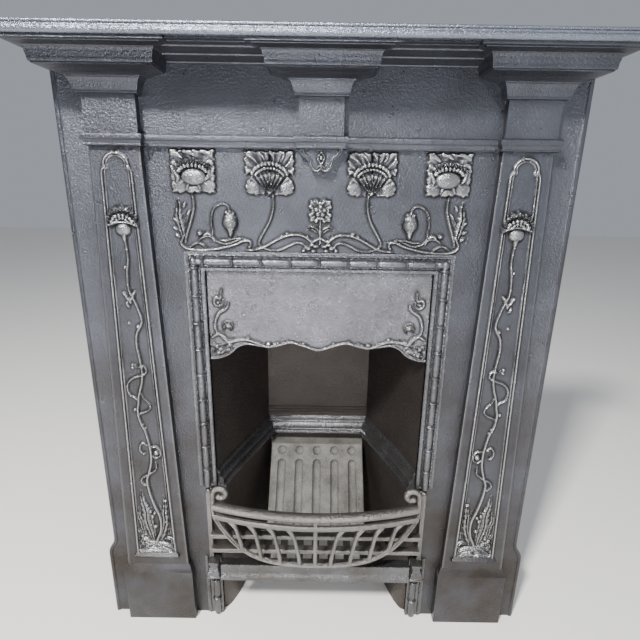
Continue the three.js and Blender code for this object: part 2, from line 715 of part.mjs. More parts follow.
// Its ornament is placed in from the side of the opening and down from its head
const onCanopy = (side) => ([inset, drop]) => [side * (OPENING_HALF - inset), OPENING_TOP - drop];
const canopyTendrils = [
  [[41, 59], [37, 73], [18, 87], [14, 112], [24, 129], [41, 141]],
  [[41, 59], [29, 47], [17, 51], [19, 63], [29, 63]],
];
const CANOPY_LEAF = [
  [71, 155], [55, 145], [37, 147], [21, 141], [4, 133], [4, 179], [25, 179], [45, 168],
];
const canopy = join([
  plate(canopyOutline, canopyFace - WALL, canopyFace),
  rod(lipLine.map(([x, z]) => point(x, -canopyFace, z + 1)), CANOPY_LIP_RADIUS, 22, 5),
  ...[1, -1].flatMap((side) => [
    ...canopyTendrils.map((line) =>
      stem(line.map(onCanopy(side)), canopyFace, 2.8, 5),
    ),
    reliefPlate(
      CANOPY_LEAF.map(onCanopy(side)),
      canopyFace,
      3.5,
      1.2,
    ),
    blob(side * (OPENING_HALF - 42), canopyFace, OPENING_TOP - 113, 6, 5, 8, 8, 4),
  ]),
]);

// The fireback: splayed cheeks, a moulded band and a lower chamber that bows outward below it
const CHEEK_SHARES = [0, 0.04, 0.14, 0.35, 0.68, 1];
// Plan of one wall above the band, pushed inwards by the inset and bulged outwards by the bow
const upperPlan = (inset, bow) =>
  CHEEK_SHARES.map((t) => {
    const bulge = bow * 1.6 * Math.sqrt(t) * (1 - t);
    return [lerp(OPENING_HALF, BACK_HALF, t) + bulge - inset, t * (BACK_DEPTH - inset)];
  });
const shell = (line) => line.map(([x, y], i) => [x + WALL, i ? y + WALL : 0]);
function wallRing(z, inner, outer) {
  const ring = [
    ...inner,
    ...inner.toReversed().map(([x, y]) => [-x, y]),
    ...outer.map(([x, y]) => [-x, y]),
    ...outer.toReversed(),
  ];
  return ring.map(([x, y]) => point(x, y + FIT, z));
}
const BAND = [
  [17, 0], [19, 5], [18, 11], [11, 15], [12, 22], [9, 30], [4, 35], [4, 44], [0, 50],
];
const atBand = shell(upperPlan(0, CHEEK_BOW));
const walls = stack([
  wallRing(0, LOWER_PLAN, shell(LOWER_PLAN)),
  wallRing(BRICK_TOP + 3, LOWER_PLAN, shell(LOWER_PLAN)),
  ...BAND.map(([inset, up]) => wallRing(BAND_BOTTOM + up, upperPlan(inset, CHEEK_BOW), atBand)),
  wallRing(FIREBACK_TOP, upperPlan(0, 0), shell(upperPlan(0, 0))),
]);
const fireFlange = plate(
  [
    [-OPENING_HALF - FIREBACK_FLANGE, 0],
    [OPENING_HALF + FIREBACK_FLANGE, 0],
    [OPENING_HALF + FIREBACK_FLANGE, FIREBACK_TOP],
    [-OPENING_HALF - FIREBACK_FLANGE, FIREBACK_TOP],
  ],
  -WALL - FIT,
  -FIT,
)
  .subtract(box(-OPENING_HALF, OPENING_HALF, BACK, BACK, BAND_BOTTOM, OPENING_TOP))
  .subtract(box(-NOTCH_HALF, NOTCH_HALF, BACK, BACK, -1, BAND_BOTTOM));
const lowerAt = (y) => {
  const i = LOWER_PLAN.findIndex(([, back]) => back > y);
  const [x0, y0] = LOWER_PLAN[i - 1];
  const [x1, y1] = LOWER_PLAN[i];
  return lerp(x0, x1, (y - y0) / (y1 - y0));
};
const LEDGE_FRONT = 42;
const ledgeLine = [LEDGE_FRONT, LOWER_PLAN[3][1], GRATE_BACK];
const ledge = stack(
  [GRATE_TOP - GRATE_THICKNESS - FIT - 10, GRATE_TOP - GRATE_THICKNESS - FIT].map((z) => [
    ...ledgeLine.map((y) => point(lowerAt(y) - LEDGE_WIDTH, y, z)),
    ...ledgeLine.toReversed().map((y) => point(lowerAt(y) + 3, y, z)),
  ]),
);
const firebox = join([walls, fireFlange, both(ledge)]);

// The clay brick leans from the back of the grate to the fireback
const footCut = (BRICK_THICKNESS * -back[1]) / up[1];
const brickSide = [
  [brickFootY, GRATE_TOP + FIT],
  [brickTopY, GRATE_TOP + FIT + BRICK_LENGTH * up[1]],
  [brickTopY + BRICK_THICKNESS * back[0], GRATE_TOP + FIT + BRICK_LENGTH * up[1]],
  [brickFootY + BRICK_THICKNESS * back[0] + footCut * up[0], GRATE_TOP + FIT],
];
const brickHalf = (z) =>
  lerp(BRICK_FOOT_WIDTH, BRICK_TOP_WIDTH, (z - GRATE_TOP) / (BRICK_LENGTH * up[1])) / 2;
const brickBody = stack(
  [-1, 1].map((side) => brickSide.map(([y, z]) => point(side * brickHalf(z), y, z))),
);
const flute = (n) => {
  const x = (n - (BRICK_FLUTES - 1) / 2) * BRICK_FLUTE_PITCH;
  const bore = new THREE.CapsuleGeometry(BRICK_FLUTE_RADIUS, BRICK_LENGTH, 2, 8);
  bore.translate(0, BRICK_LENGTH * 0.18, 0);
  bore.rotateX(Math.PI / 2 - lean);
  bore.translate(x * 0.95, brickFootY + BRICK_LENGTH * up[0] * 0.1, GRATE_TOP + BRICK_LENGTH * up[1] * 0.1);
  const dimple = new THREE.SphereGeometry(12, 8, 4);
  dimple.translate(
    x * 0.93,
    brickFootY + BRICK_LENGTH * up[0] * 0.92,
    GRATE_TOP + BRICK_LENGTH * up[1] * 0.92,
  );
  return join([solid(bore), solid(dimple)]);
};
const brick = brickBody.subtract(join(Array.from({ length: BRICK_FLUTES }, (_, n) => flute(n))));

// The bottom grate: a plate on the ledges, slotted from front to back
const GRATE_EDGE = [
  [INNER_HALF - 12, FIT + 2 - GRATE_FRONT],
  [INNER_HALF - 2, FIT],
  ...[6, 30, 76, GRATE_BACK].map((y) => [Math.min(INNER_HALF - 2, lowerAt(y) - 2 * FIT), y]),
];
const grateBody = stack(
  [GRATE_TOP - GRATE_THICKNESS, GRATE_TOP].map((z) =>
    [...GRATE_EDGE, ...GRATE_EDGE.toReversed().map(([x, y]) => [-x, y])].map(([x, y]) => point(x, y, z)),
  ),
);
const slotPitch = (2 * lowerAt(GRATE_BACK) - 20) / GRATE_SLOTS;
const slot = (n) => {
  const x = (n - (GRATE_SLOTS - 1) / 2) * slotPitch;
  return box(
    x - GRATE_SLOT_WIDTH / 2,
    x + GRATE_SLOT_WIDTH / 2,
    Math.min(brickFootY - 4, GRATE_BACK - 14),
    GRATE_FRONT - 12,
    GRATE_TOP - GRATE_THICKNESS - 1,
    GRATE_TOP + 1,
  );
};
const grate = grateBody.subtract(join(Array.from({ length: GRATE_SLOTS }, (_, n) => slot(n))));

// The ash rail: rolled lower edge, upright face and a top plate that runs back to the grate
const RAIL_END = CAP_AXIS - 18 - FIT;
const RAIL = [
  [0, 0], [0, 0.06], [2, 0.3], [5, 0.48], [5, 0.96], [8, 1], [32, 0.9], [32, 0.7], [12, 0.78],
  [12, 0.1], [8, 0],
];
const ashRail = crossMoulding(
  -RAIL_END,
  RAIL_END,
  RAIL.map(([behind, share]) => [RAIL_FRONT - behind, RAIL_TOP - RAIL_DROP + share * RAIL_DROP]),
);

// The bowed front bar
const bow = (x) => BOW_CENTRE - (BOW_CENTRE - BOW_END) * (x / POST_AXIS) ** 2;
function bowedBar(x0, x1, steps, section) {
  return stack(
    Array.from({ length: steps + 1 }, (_, i) => {
      const x = lerp(x0, x1, i / steps);
      return section(x).map(([behind, z]) => point(x, -bow(x) + behind, z));
    }),
  );
}
const rectangle = (depth, low, high) => [[0, low], [depth, low], [depth, high], [0, high]];
const barEnd = POST_AXIS - 1;
const topBar = bowedBar(-barEnd, barEnd, 10, () => [
  [3, TOP_BAR_TOP - TOP_BAR_HEIGHT],
  [TOP_BAR_DEPTH, TOP_BAR_TOP - TOP_BAR_HEIGHT + 3],
  [TOP_BAR_DEPTH, TOP_BAR_TOP - 3],
  [TOP_BAR_DEPTH - 3, TOP_BAR_TOP],
  [5, TOP_BAR_TOP - 1],
  [0, TOP_BAR_TOP - TOP_BAR_HEIGHT / 2],
]);
const secondBar = bowedBar(-barEnd, barEnd, 10, () =>
  rectangle(BAR_DEPTH, SECOND_BAR_TOP - SECOND_BAR_HEIGHT, SECOND_BAR_TOP),
);
const leafEdge = (x) => LEAF_LOW + (LEAF_TIP - LEAF_LOW) * Math.abs(x / POST_AXIS) ** LEAF_POWER;
const leafRim = bowedBar(-barEnd, barEnd, 14, (x) => {
  const steep = 1 + 1.6 * Math.abs(x / POST_AXIS) ** 3;
  return rectangle(BAR_DEPTH, leafEdge(x), leafEdge(x) + RIB_WIDTH * steep);
});
function rib(x, half, sweep) {
  const low = leafEdge(x - sweep) + 1;
  const high = SECOND_BAR_TOP - SECOND_BAR_HEIGHT + 1;
  const steps = sweep ? 2 : 1;
  return stack(
    Array.from({ length: steps + 1 }, (_, i) => {
      const t = i / steps;
      const z = lerp(high, low, t);
      const centre = x - sweep * t * t;
      const front = bow(centre);
      return [
        point(centre - half, -front + 0.6, z),
        point(centre + half, -front + 0.6, z),
        point(centre + half, -front + BAR_DEPTH - 1, z),
        point(centre - half, -front + BAR_DEPTH - 1, z),
      ];
    }),
  );
}
const ribs = [rib(0, RIB_WIDTH / 2 + 1, 0)];
for (let n = 1; n <= RIBS_A_SIDE; n += 1) {
  ribs.push(both(rib(4 + n * RIB_PITCH, RIB_WIDTH / 2, 13)));
}
const strut = box(
  -3,
  3,
  -BOW_CENTRE + BAR_DEPTH,
  BOW_CENTRE - 2,
  SECOND_BAR_TOP - 2,
  TOP_BAR_TOP - TOP_BAR_HEIGHT + 2,
);
const lowerBars = LOWER_BARS.map((z) =>
  box(-POST_AXIS - 9, POST_AXIS + 9, -13, BOW_END - 8, z - 5, z + 5),
);
const scrollZ = TOP_BAR_TOP + SCROLL_RADIUS + 12;
const scrollX = POST_AXIS - SCROLL_RADIUS - 6;
const scrollLine = Array.from({ length: 9 }, (_, i) => {
  const angle = -0.35 + (i / 8) * 1.42 * Math.PI;
  const r = SCROLL_RADIUS * (1 - 0.42 * (i / 8));
  return point(scrollX + r * Math.cos(angle) - 1, -BOW_END + 11, scrollZ + r * Math.sin(angle));
});
const lug = (z) => box(POST_AXIS - 3, POST_AXIS + POST_SETOFF, -11, 15, z - 4, z + 4);
const post = join([
  box(
    POST_AXIS + POST_SETOFF - POST_WIDTH / 2,
    POST_AXIS + POST_SETOFF + POST_WIDTH / 2,
    -4,
    16,
    POST_FOOT,
    scrollZ - 6,
  ),
  box(
    POST_AXIS - POST_WIDTH / 2,
    POST_AXIS + POST_WIDTH / 2,
    -BOW_END + POST_REACH - 2,
    BOW_END,
    LEAF_TIP - 2,
    scrollZ - 2,
  ),
  lug(LEAF_TIP + 4),
  lug(TOP_BAR_TOP + 8),
  rod([point(POST_AXIS, -BOW_END + 11, scrollZ - 12), ...scrollLine], 4.4, 11, 5),
  blob(scrollX, BOW_END - 11, scrollZ, 7, 7, 7, 8, 4),
]);
const frontBar = join([topBar, secondBar, leafRim, ...ribs, strut, ...lowerBars, both(post)]);

const group = new THREE.Group();
group.name = "fireplace surround";
const FIREBACK_REAR = BACK_DEPTH + WALL + FIT;
group.position.y = (SHELF_FRONT - FIREBACK_REAR) / 2;
function put(name, made, look) {
  const mesh = made.getMesh();
  const geometry = new THREE.BufferGeometry();
  const all = mesh.vertProperties;
  geometry.setAttribute("position", new THREE.BufferAttribute(new Float32Array(all), 3));
  geometry.setIndex(new THREE.BufferAttribute(new Uint32Array(mesh.triVerts), 1));
  geometry.computeVertexNormals();
  const node = new THREE.Mesh(geometry, look.clone());
  node.name = name;
  group.add(node);
}
put("surround", surround, iron);
put("mantel_shelf", shelf, iron);
put("canopy", canopy, iron);
put("firebox", firebox, iron);
put("fire_brick", brick, clay);
put("bottom_grate", grate, iron);
put("front_bars", frontBar, iron);
put("ash_rail", ashRail, iron);

export default group;
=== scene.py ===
"""Looks of a cast-iron combination fireplace: castings with poppy relief, standing on a plain floor."""

import math

import bmesh
import bpy
import numpy as np
from mathutils import Matrix, Vector


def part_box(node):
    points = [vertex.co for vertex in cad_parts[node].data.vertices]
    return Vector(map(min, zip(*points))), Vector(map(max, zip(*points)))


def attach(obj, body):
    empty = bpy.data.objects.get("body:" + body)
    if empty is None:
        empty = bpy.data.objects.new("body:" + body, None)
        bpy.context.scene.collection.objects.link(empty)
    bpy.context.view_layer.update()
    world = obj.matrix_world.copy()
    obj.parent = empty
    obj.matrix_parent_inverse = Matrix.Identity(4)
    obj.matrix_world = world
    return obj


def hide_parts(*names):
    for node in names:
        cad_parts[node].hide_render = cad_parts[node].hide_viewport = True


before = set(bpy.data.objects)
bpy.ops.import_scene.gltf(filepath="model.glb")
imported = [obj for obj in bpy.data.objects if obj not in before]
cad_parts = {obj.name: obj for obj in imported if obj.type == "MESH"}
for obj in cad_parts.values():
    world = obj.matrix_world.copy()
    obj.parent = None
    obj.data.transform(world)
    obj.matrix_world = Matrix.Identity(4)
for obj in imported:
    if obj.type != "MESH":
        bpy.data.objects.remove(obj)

bl_info = {
    "name": "Cast-iron fireplace surround",
    "version": (1, 0, 0),
    "blender": (4, 5, 0),
    "location": "3D View > Sidebar > Fireplace",
    "description": "Builds the castings of a combination fireplace of about 1900 and their finish",
    "category": "Object",
}

# Sizes in millimetres, the same as in the CAD. "Front" is the distance in front of the wall plane
MM = 0.001
HEIGHT = 1238.0
FIT = 0.3
PANEL = 8.0
PILASTER_FACE, PLINTH_FACE, BLOCK_FACE, RECESS_FACE = 24.0, 30.0, 28.0, 12.0
FLANGE_HALF, FLANGE_FOOT = 468.0, 484.0
AXIS, TOP_HALF, FOOT_HALF = 364.5, 45.5, 70.5
PLINTH_HALF, PLINTH_HEIGHT, BEVEL_HEIGHT, BEVEL = 79.0, 157.0, 21.0, 7.0
BLOCK_HALF, CENTRE_HALF = 46.0, 39.0
FRIEZE_BOTTOM, ASTRAGAL_HEIGHT, ASTRAGAL_RISE = 1068.0, 21.0, 8.0
CORNICE_HEIGHT, CORNICE_OUT = 68.0, 79.0
RECESS_CORNICE_HEIGHT, RECESS_CORNICE_OUT = 17.0, 88.0
PENDANT_DROP = 42.0
SHELF_THICK, SHELF_OVER = 19.0, 7.0
OPENING_HALF, OPENING_TOP, NOTCH_HALF = 221.0, 845.0, 247.0
FRAME_WIDTH, FRAME_RISE, FILLET = 33.0, 4.0, 6.0
CANE_RADIUS, CANE_INSET, CANE_PITCH = 7.5, 19.0, 55.5
CAP_AXIS, CAP_BOTTOM, CAP_TOP, CANE_STOP = 234.0, 130.0, 171.0, 362.0
FRIEZE_LOW = 884.0
BORDER_FOOT, BORDER_HEAD = 191.0, 1061.0
BORDER_TOP_HALF, BORDER_FOOT_HALF = 28.0, 45.0
VINE_FOOT = 167.0
CANOPY_FACE, CANOPY_BACK, CANOPY_HALF = 4.0, -3.0, 219.5

SHELF_BOTTOM = HEIGHT - SHELF_THICK
BLOCK_TOP = SHELF_BOTTOM - FIT
FRAME_FACE = PANEL + FRAME_RISE
BACK_RIM = 3.0
WALL_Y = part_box("surround")[1][1] - BACK_RIM * MM
FOCAL_PIXELS, FRAME_PIXELS = 458.0, 640.0


# Geometry helpers
def at(x, front, z):
    """A place given in millimetres, as metres in the shared frame."""
    return Vector((x * MM, WALL_Y - front * MM, z * MM))


def piece(name, bm, node, material, angle=32.0):
    """Turn a bmesh into an object that takes the place of a CAD node."""
    bmesh.ops.remove_doubles(bm, verts=bm.verts, dist=1e-6)
    bmesh.ops.recalc_face_normals(bm, faces=bm.faces)
    mesh = bpy.data.meshes.new(name)
    bm.to_mesh(mesh)
    bm.free()
    return adopt(name, mesh, node, material, angle)


def adopt(name, mesh, node, material, angle=32.0):
    """Link a mesh as a piece of the part, smooth but for its sharp edges."""
    mesh.polygons.foreach_set("use_smooth", [True] * len(mesh.polygons))
    mesh.set_sharp_from_angle(angle=math.radians(angle))
    obj = bpy.data.objects.new(name, mesh)
    bpy.context.scene.collection.objects.link(obj)
    mesh.materials.append(bpy.data.materials[material])
    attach(obj, "root")
    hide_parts(node)
    return obj


def loft(bm, rings):
    """A closed skin through rings of points with the same count: one face pulled on from ring to ring."""
    face = bm.faces.new([bm.verts.new(p) for p in rings[0]])
    for index, (here, there) in enumerate(zip(rings, rings[1:])):
        out = bmesh.ops.extrude_face_region(bm, geom=[face], use_keep_orig=index == 0)
        face = next(g for g in out["geom"] if isinstance(g, bmesh.types.BMFace))
        target = {tuple(round(c, 7) for c in p): q for p, q in zip(here, there)}
        places = [target[tuple(round(c, 7) for c in vert.co)] for vert in face.verts]
        for vert, place in zip(face.verts, places):
            vert.co = place


def tube(bm, points, radius, sides=10, squash=1.0):
    """A rod along points; the radius may be one value or one for each point."""
    count = len(points)
    radii = [radius] * count if isinstance(radius, (int, float)) else radius
    tangents = [(points[min(i + 1, count - 1)] - points[max(i - 1, 0)]).normalized() for i in range(count)]
    side = tangents[0].orthogonal().normalized()
    rings = []
    for place, tangent, size in zip(points, tangents, radii):
        side = (side - tangent * side.dot(tangent)).normalized()
        other = tangent.cross(side)
        ring = []
        for n in range(sides):
            turn = 2 * math.pi * n / sides
            ring.append(place + (side * math.cos(turn) + other * math.sin(turn) * squash) * size * MM)
        rings.append(ring)
    loft(bm, rings)


def ball(bm, place, rx, ry, rz, segments=14, rings=9):
    """An ellipsoid at a place in metres, radii in millimetres."""
    matrix = Matrix.Translation(place) @ Matrix.Diagonal((rx * MM, ry * MM, rz * MM, 1.0))
    bmesh.ops.create_uvsphere(bm, u_segments=segments, v_segments=rings, radius=1.0, matrix=matrix)


def turned(bm, profile, start, end, sides=18):
    """A lathe-turned rod from start to end; the profile is radius and distance along, in millimetres."""
    mine = bmesh.new()
    verts = [mine.verts.new((r * MM, 0.0, d * MM)) for r, d in profile]
    edges = [mine.edges.new(pair) for pair in zip(verts, verts[1:])]
    bmesh.ops.spin(mine, geom=verts + edges, cent=(0, 0, 0), axis=(0, 0, 1), angle=2 * math.pi,
                   steps=sides, use_merge=True)
    bmesh.ops.remove_doubles(mine, verts=mine.verts, dist=1e-6)
    turn = (end - start).to_track_quat("Z", "Y").to_matrix().to_4x4()
    bmesh.ops.transform(mine, matrix=Matrix.Translation(start) @ turn, verts=mine.verts)
    pour(mine, bm)


def pour(source, target):
    """Copy one bmesh into another."""
    mesh = bpy.data.meshes.new("pour")
    source.to_mesh(mesh)
    source.free()
    target.from_mesh(mesh)
    bpy.data.meshes.remove(mesh)


def soften(bm, width, angle=50.0, segments=2):
    """Round the sharp edges of castings by a small radius."""
    sharp = [e for e in bm.edges if len(e.link_faces) == 2 and e.calc_face_angle(0.0) > math.radians(angle)]
    bmesh.ops.bevel(bm, geom=sharp, offset=width * MM, segments=segments, profile=0.5, affect="EDGES",
                    material=-1)


def smooth_line(points, steps=8, ends=False):
    """Points along a rounded line through the given ones."""
    points = [np.array(p, float) for p in points]
    padded = [2 * points[0] - points[1]] + points + [2 * points[-1] - points[-2]]
    line = []
    for a, b, c, d in zip(padded, padded[1:], padded[2:], padded[3:]):
        for t in np.arange(steps) / steps:
            line.append(0.5 * (2 * b + (c - a) * t + (2 * a - 5 * b + 4 * c - d) * t ** 2
                               + (3 * b - a - 3 * c + d) * t ** 3))
    line.append(points[-1])
    return np.array(line)


class Relief:
    """Heights in millimetres over a field of points; shapes are laid on and the highest one shows."""

    def __init__(self, x, z):
        self.x, self.z = x, z
        self.h = np.zeros_like(x)

    def near(self, low_x, high_x, low_z, high_z):
        return np.nonzero((self.x > low_x) & (self.x < high_x) & (self.z > low_z) & (self.z < high_z))[0]

    def raise_to(self, pick, height):
        self.h[pick] = np.maximum(self.h[pick], height)

    def along(self, points, reach, steps):
        """Nearest place on a line for the points near it: share along it, signed distance, indices."""
        line = smooth_line(points, steps)
        low, high = line.min(0) - reach, line.max(0) + reach
        pick = self.near(low[0], high[0], low[1], high[1])
        px, pz = self.x[pick], self.z[pick]
        best, share, signed = np.full(len(pick), 1e9), np.zeros(len(pick)), np.zeros(len(pick))
        count = len(line) - 1
        for n in range(count):
            (ax, az), (bx, bz) = line[n], line[n + 1]
            dx, dz = bx - ax, bz - az
            length = max(dx * dx + dz * dz, 1e-9)
            t = np.clip(((px - ax) * dx + (pz - az) * dz) / length, 0, 1)
            ox, oz = px - ax - t * dx, pz - az - t * dz
            d = ox * ox + oz * oz
            better = d < best
            best[better] = d[better]
            share[better] = (n + t[better]) / count
            signed[better] = (ox * dz - oz * dx)[better]
        return share, np.sqrt(best) * np.sign(signed + 1e-12), pick

    def blade(self, points, widths, rise, groove=0.0, veins=0.0, teeth=0, cup=0.0, base=0.0, steps=8):
        """A stem, leaf or curl: half widths along a line, with a mid groove, side veins or saw teeth."""
        widths = np.atleast_1d(np.array(widths, float))
        share, off, pick = self.along(points, widths.max() * 1.3 + 1, steps)
        width = np.interp(share, np.linspace(0, 1, len(widths)), widths)
        if teeth:
            width = width * (0.72 + 0.38 * np.mod(share * teeth + 0.15 * np.abs(off) / widths.max(), 1.0))
        rel = np.clip(np.abs(off) / np.maximum(width, 0.1), 0, 1)
        body = (1 - rel ** 2) ** 0.65
        height = body * (1 - cup) + cup * body ** 0.35 * (0.35 + 0.65 * rel ** 2)
        if groove:
            height = height - groove * np.exp(-((off / 0.9) ** 2)) * (rel < 1)
        if veins:
            count = max(3, int(len(points) * 2))
            height = height + veins * np.cos(2 * math.pi * (share * count * 1.5 + rel * 0.9)) * body
        self.raise_to(pick, np.where(rel < 1, base * (rel < 0.999) + rise * height, 0))

    def dome(self, x, z, rx, rz, rise, turn=0.0, base=0.0, power=0.5):
        """A rounded boss."""
        reach = max(rx, rz) + 1
        pick = self.near(x - reach, x + reach, z - reach, z + reach)
        dx, dz = self.x[pick] - x, self.z[pick] - z
        c, s = math.cos(turn), math.sin(turn)
        r = ((dx * c + dz * s) / rx) ** 2 + ((dz * c - dx * s) / rz) ** 2
        self.raise_to(pick, np.where(r < 1, base + rise * np.clip(1 - r, 0, 1) ** power, 0))

    def fan(self, x, z, start, end, inner, outer, low, high, ribs=0, frill=0.0, lobes=5, rib=0.25, square=0.0):
        """A petal spread between two angles, dished from its low heart to its high, frilled rim."""
        reach = outer * 1.5
        pick = self.near(x - reach, x + reach, z - reach, z + reach)
        dx, dz = self.x[pick] - x, self.z[pick] - z
        radius, angle = np.hypot(dx, dz), np.degrees(np.arctan2(dz, dx))
        middle = (start + end) / 2
        angle = np.mod(angle - middle + 180, 360) - 180
        half = (end - start) / 2
        share = angle / half
        edge = outer * (1 + frill * np.cos(math.pi * lobes * share))
        if square:
            turn = np.radians(angle + middle)
            box = (np.abs(np.cos(turn)) ** 6 + np.abs(np.sin(turn)) ** 6) ** (-1 / 6)
            edge = edge * (1 - square + square * box)
        rel = (radius - inner) / np.maximum(edge - inner, 1e-3)
        fall = np.clip((1 - rel) * (edge - inner) / 2.2, 0, 1) ** 0.5
        fall = fall * np.clip((1 - np.abs(share)) * half * np.pi / 180 * radius / 1.8, 0, 1) ** 0.5
        height = low + (high - low) * np.clip(rel, 0, 1) ** 1.6
        if ribs:
            height = height + rib * (high - low) * np.cos(math.pi * ribs * share) * np.clip(rel * 1.5, 0, 1)
        self.raise_to(pick, np.where((rel > 0) & (rel < 1) & (np.abs(share) < 1), height * fall, 0))


RIDGE_HOLLOW_REACH, RIDGE_FULL, CAVITY_FULL = 2.4, 1.6, 1.0


def blurred(grid, reach):
    """Each value averaged with its neighbours up to reach cells away, twice."""
    for _ in range(2):
        for axis in (0, 1):
            total = np.zeros_like(grid)
            for step in range(-reach, reach + 1):
                index = np.clip(np.arange(grid.shape[axis]) + step, 0, grid.shape[axis] - 1)
                total += np.take(grid, index, axis=axis)
            grid = total / (2 * reach + 1)
    return grid


def slab(name, nu, nv, place, face, back, node, material, angle=60.0, shape=None):
    """A closed casting whose front is a fine grid: place gives the outline, face the front distance."""
    bm = bmesh.new()
    bmesh.ops.create_grid(bm, x_segments=nu, y_segments=nv, size=1.0)
    rim = [e for e in bm.edges if e.is_boundary]
    out = bmesh.ops.extrude_edge_only(bm, edges=rim)
    for vert in out["geom"]:
        if isinstance(vert, bmesh.types.BMVert):
            vert.co.z = -1.0
    bmesh.ops.edgeloop_fill(bm, edges=[e for e in bm.edges if e.is_boundary])
    mesh = bpy.data.meshes.new(name)
    bm.to_mesh(mesh)
    bm.free()
    flat = np.empty(len(mesh.vertices) * 3)
    mesh.vertices.foreach_get("co", flat)
    spots = flat.reshape(-1, 3)
    u, v, top = (spots[:, 0] + 1) / 2, (spots[:, 1] + 1) / 2, spots[:, 2] > -0.5
    x, z = place(u, v)
    front, wear_and_highlight = face(x, z)
    front = np.where(top, front, back)
    if shape:
        x, front, z = shape(x, z, front)
    places = np.stack([x * MM, WALL_Y - front * MM, z * MM], 1)
    mesh.vertices.foreach_set("co", places.reshape(-1))
    # Hollows beside raised work are marked to be painted dark, partly blacking left there and partly painted shade;
    # ridges are marked to be painted bright, partly rubbed wear and partly painted highlight
    grid = front[:(nu + 1) * (nv + 1)].reshape(nv + 1, nu + 1)
    across = max(1, round(RIDGE_HOLLOW_REACH / (abs(x.max() - x.min()) / nu)))
    soft = blurred(grid, across)
    ridge = np.zeros_like(front)
    ridge[:grid.size] = (grid - soft).reshape(-1)
    shares = (("wear_and_highlight", np.clip(0.3 * wear_and_highlight + ridge / RIDGE_FULL, 0, 1)), ("cavity", np.clip(-ridge / CAVITY_FULL, 0, 1)))
    for key, share in shares:
        store = mesh.attributes.new(key, "FLOAT", "POINT")
        store.data.foreach_set("value", np.where(top, share, 0.0).astype(np.float32))
    mesh.update()
    return adopt(name, mesh, node, material, angle)


def polish(height, full):
    """How far a raised place is painted bright, as rubbed wear and as painted highlight: nothing on the ground,
    everything on the high spots.
    """
    return np.clip((height - 0.25 * full) / (0.75 * full), 0, 1)




# Relief of the frieze panel; places are millimetres from the middle and above the floor
def in_square(r, x, z, half_x, low, high, draw):
    """Draw a flower by itself, then trim it to a square with a wavy edge and lay it on."""
    flower = Relief(r.x, r.z)
    draw(flower)
    dx = r.x - x
    wave = 1.1 * np.sin(r.z * 0.42 + 1.0) + 0.7 * np.sin(r.z * 0.9)
    rise = 1.3 * np.sin(dx * 0.36 + 0.6) + 0.7 * np.sin(dx * 0.8)
    room = np.minimum(half_x + wave - np.abs(dx), np.minimum(high + rise - r.z, r.z - low - rise))
    trim = np.clip(room / 1.8, 0, 1) ** 0.5
    pick = np.nonzero(trim > 0)[0]
    r.raise_to(pick, (flower.h * trim)[pick])


def outer_flower(r, sign):
    x, z = sign * 232.0, 1025.0
    go = lambda a, b: (a, b) if sign > 0 else (180 - b, 180 - a)

    def draw(f):
        # Two ruffled petals behind, their folds running in to the heart
        f.fan(x, z - 4, *go(86, 178), 10, 66, 2.6, 6.4, ribs=3, frill=0.05, lobes=3, rib=0.5)
        f.fan(x, z - 4, *go(2, 94), 10, 66, 2.4, 6.0, ribs=3, frill=0.05, lobes=3, rib=0.5)
        for a, b, c, d, w in ((-38, 32, -18, 26, 5.0), (-14, 36, 4, 30, 4.4), (14, 37, 36, 29, 5.0),
                              (-40, 17, -27, 11, 4.6), (26, 19, 40, 12, 4.8)):
            f.blade([(x + a, z + b), (x + (a + c) / 2, z + (b + d) / 2 + 3), (x + c, z + d)], [2.4, w, 2.4], 2.6,
                    base=4.6)
        # Lower lobes, cupped and smooth, folded where they meet the heart
        for a, b, ra, rb, turn in ((-27, -23, 18, 14, 0.35), (27, -23, 18, 14, -0.35), (0, -29, 14, 9, 0.0),
                                   (-35, -3, 9, 13, 0.1), (35, -3, 9, 13, -0.1)):
            f.dome(x + a, z + b, ra, rb, 5.4, turn=turn, base=1.8, power=0.45)
        for a, b, c, d in ((-18, -14, -30, -24), (-9, -20, -14, -31), (9, -20, 14, -31), (18, -14, 30, -24)):
            f.blade([(x + a, z + b), (x + c, z + d)], [2.6, 1.0], 1.6, base=6.0)
        # A crimped rim and a row of lashes round the smooth heart
        f.blade([(x - 31, z + 4), (x - 25, z + 14), (x - 9, z + 20), (x + 9, z + 20), (x + 25, z + 14), (x + 31, z + 5)],
                [3.0, 4.2, 4.4, 4.4, 4.2, 3.0], 3.2, base=5.0, veins=1.0)
        for n in range(11):
            turn = math.pi * (n + 0.5) / 11
            f.dome(x + 25 * math.cos(turn), z + 1 + 12 * math.sin(turn), 3.0, 4.2, 3.6, turn=turn + 1.57, base=6.2)
        f.blade([(x - 33, z + 3), (x - 27, z - 8), (x - 29, z - 15)], [3.4, 4.6, 2.0], 4.0, base=5.0)
        f.blade([(x + 31, z + 5), (x + 28, z - 6), (x + 23, z - 12)], [2.8, 4.2, 1.6], 4.0, base=5.0)
        f.dome(x - sign * 2, z - 7, 23, 15, 9.0, base=4.5, power=0.5)
        f.blade([(x - 3, z + 3), (x - 1, z - 7), (x - 4, z - 19)], [0.4, 1.2, 0.4], 14.2)

    in_square(r, x, z, 40.0, 990.0, 1065.0, draw)


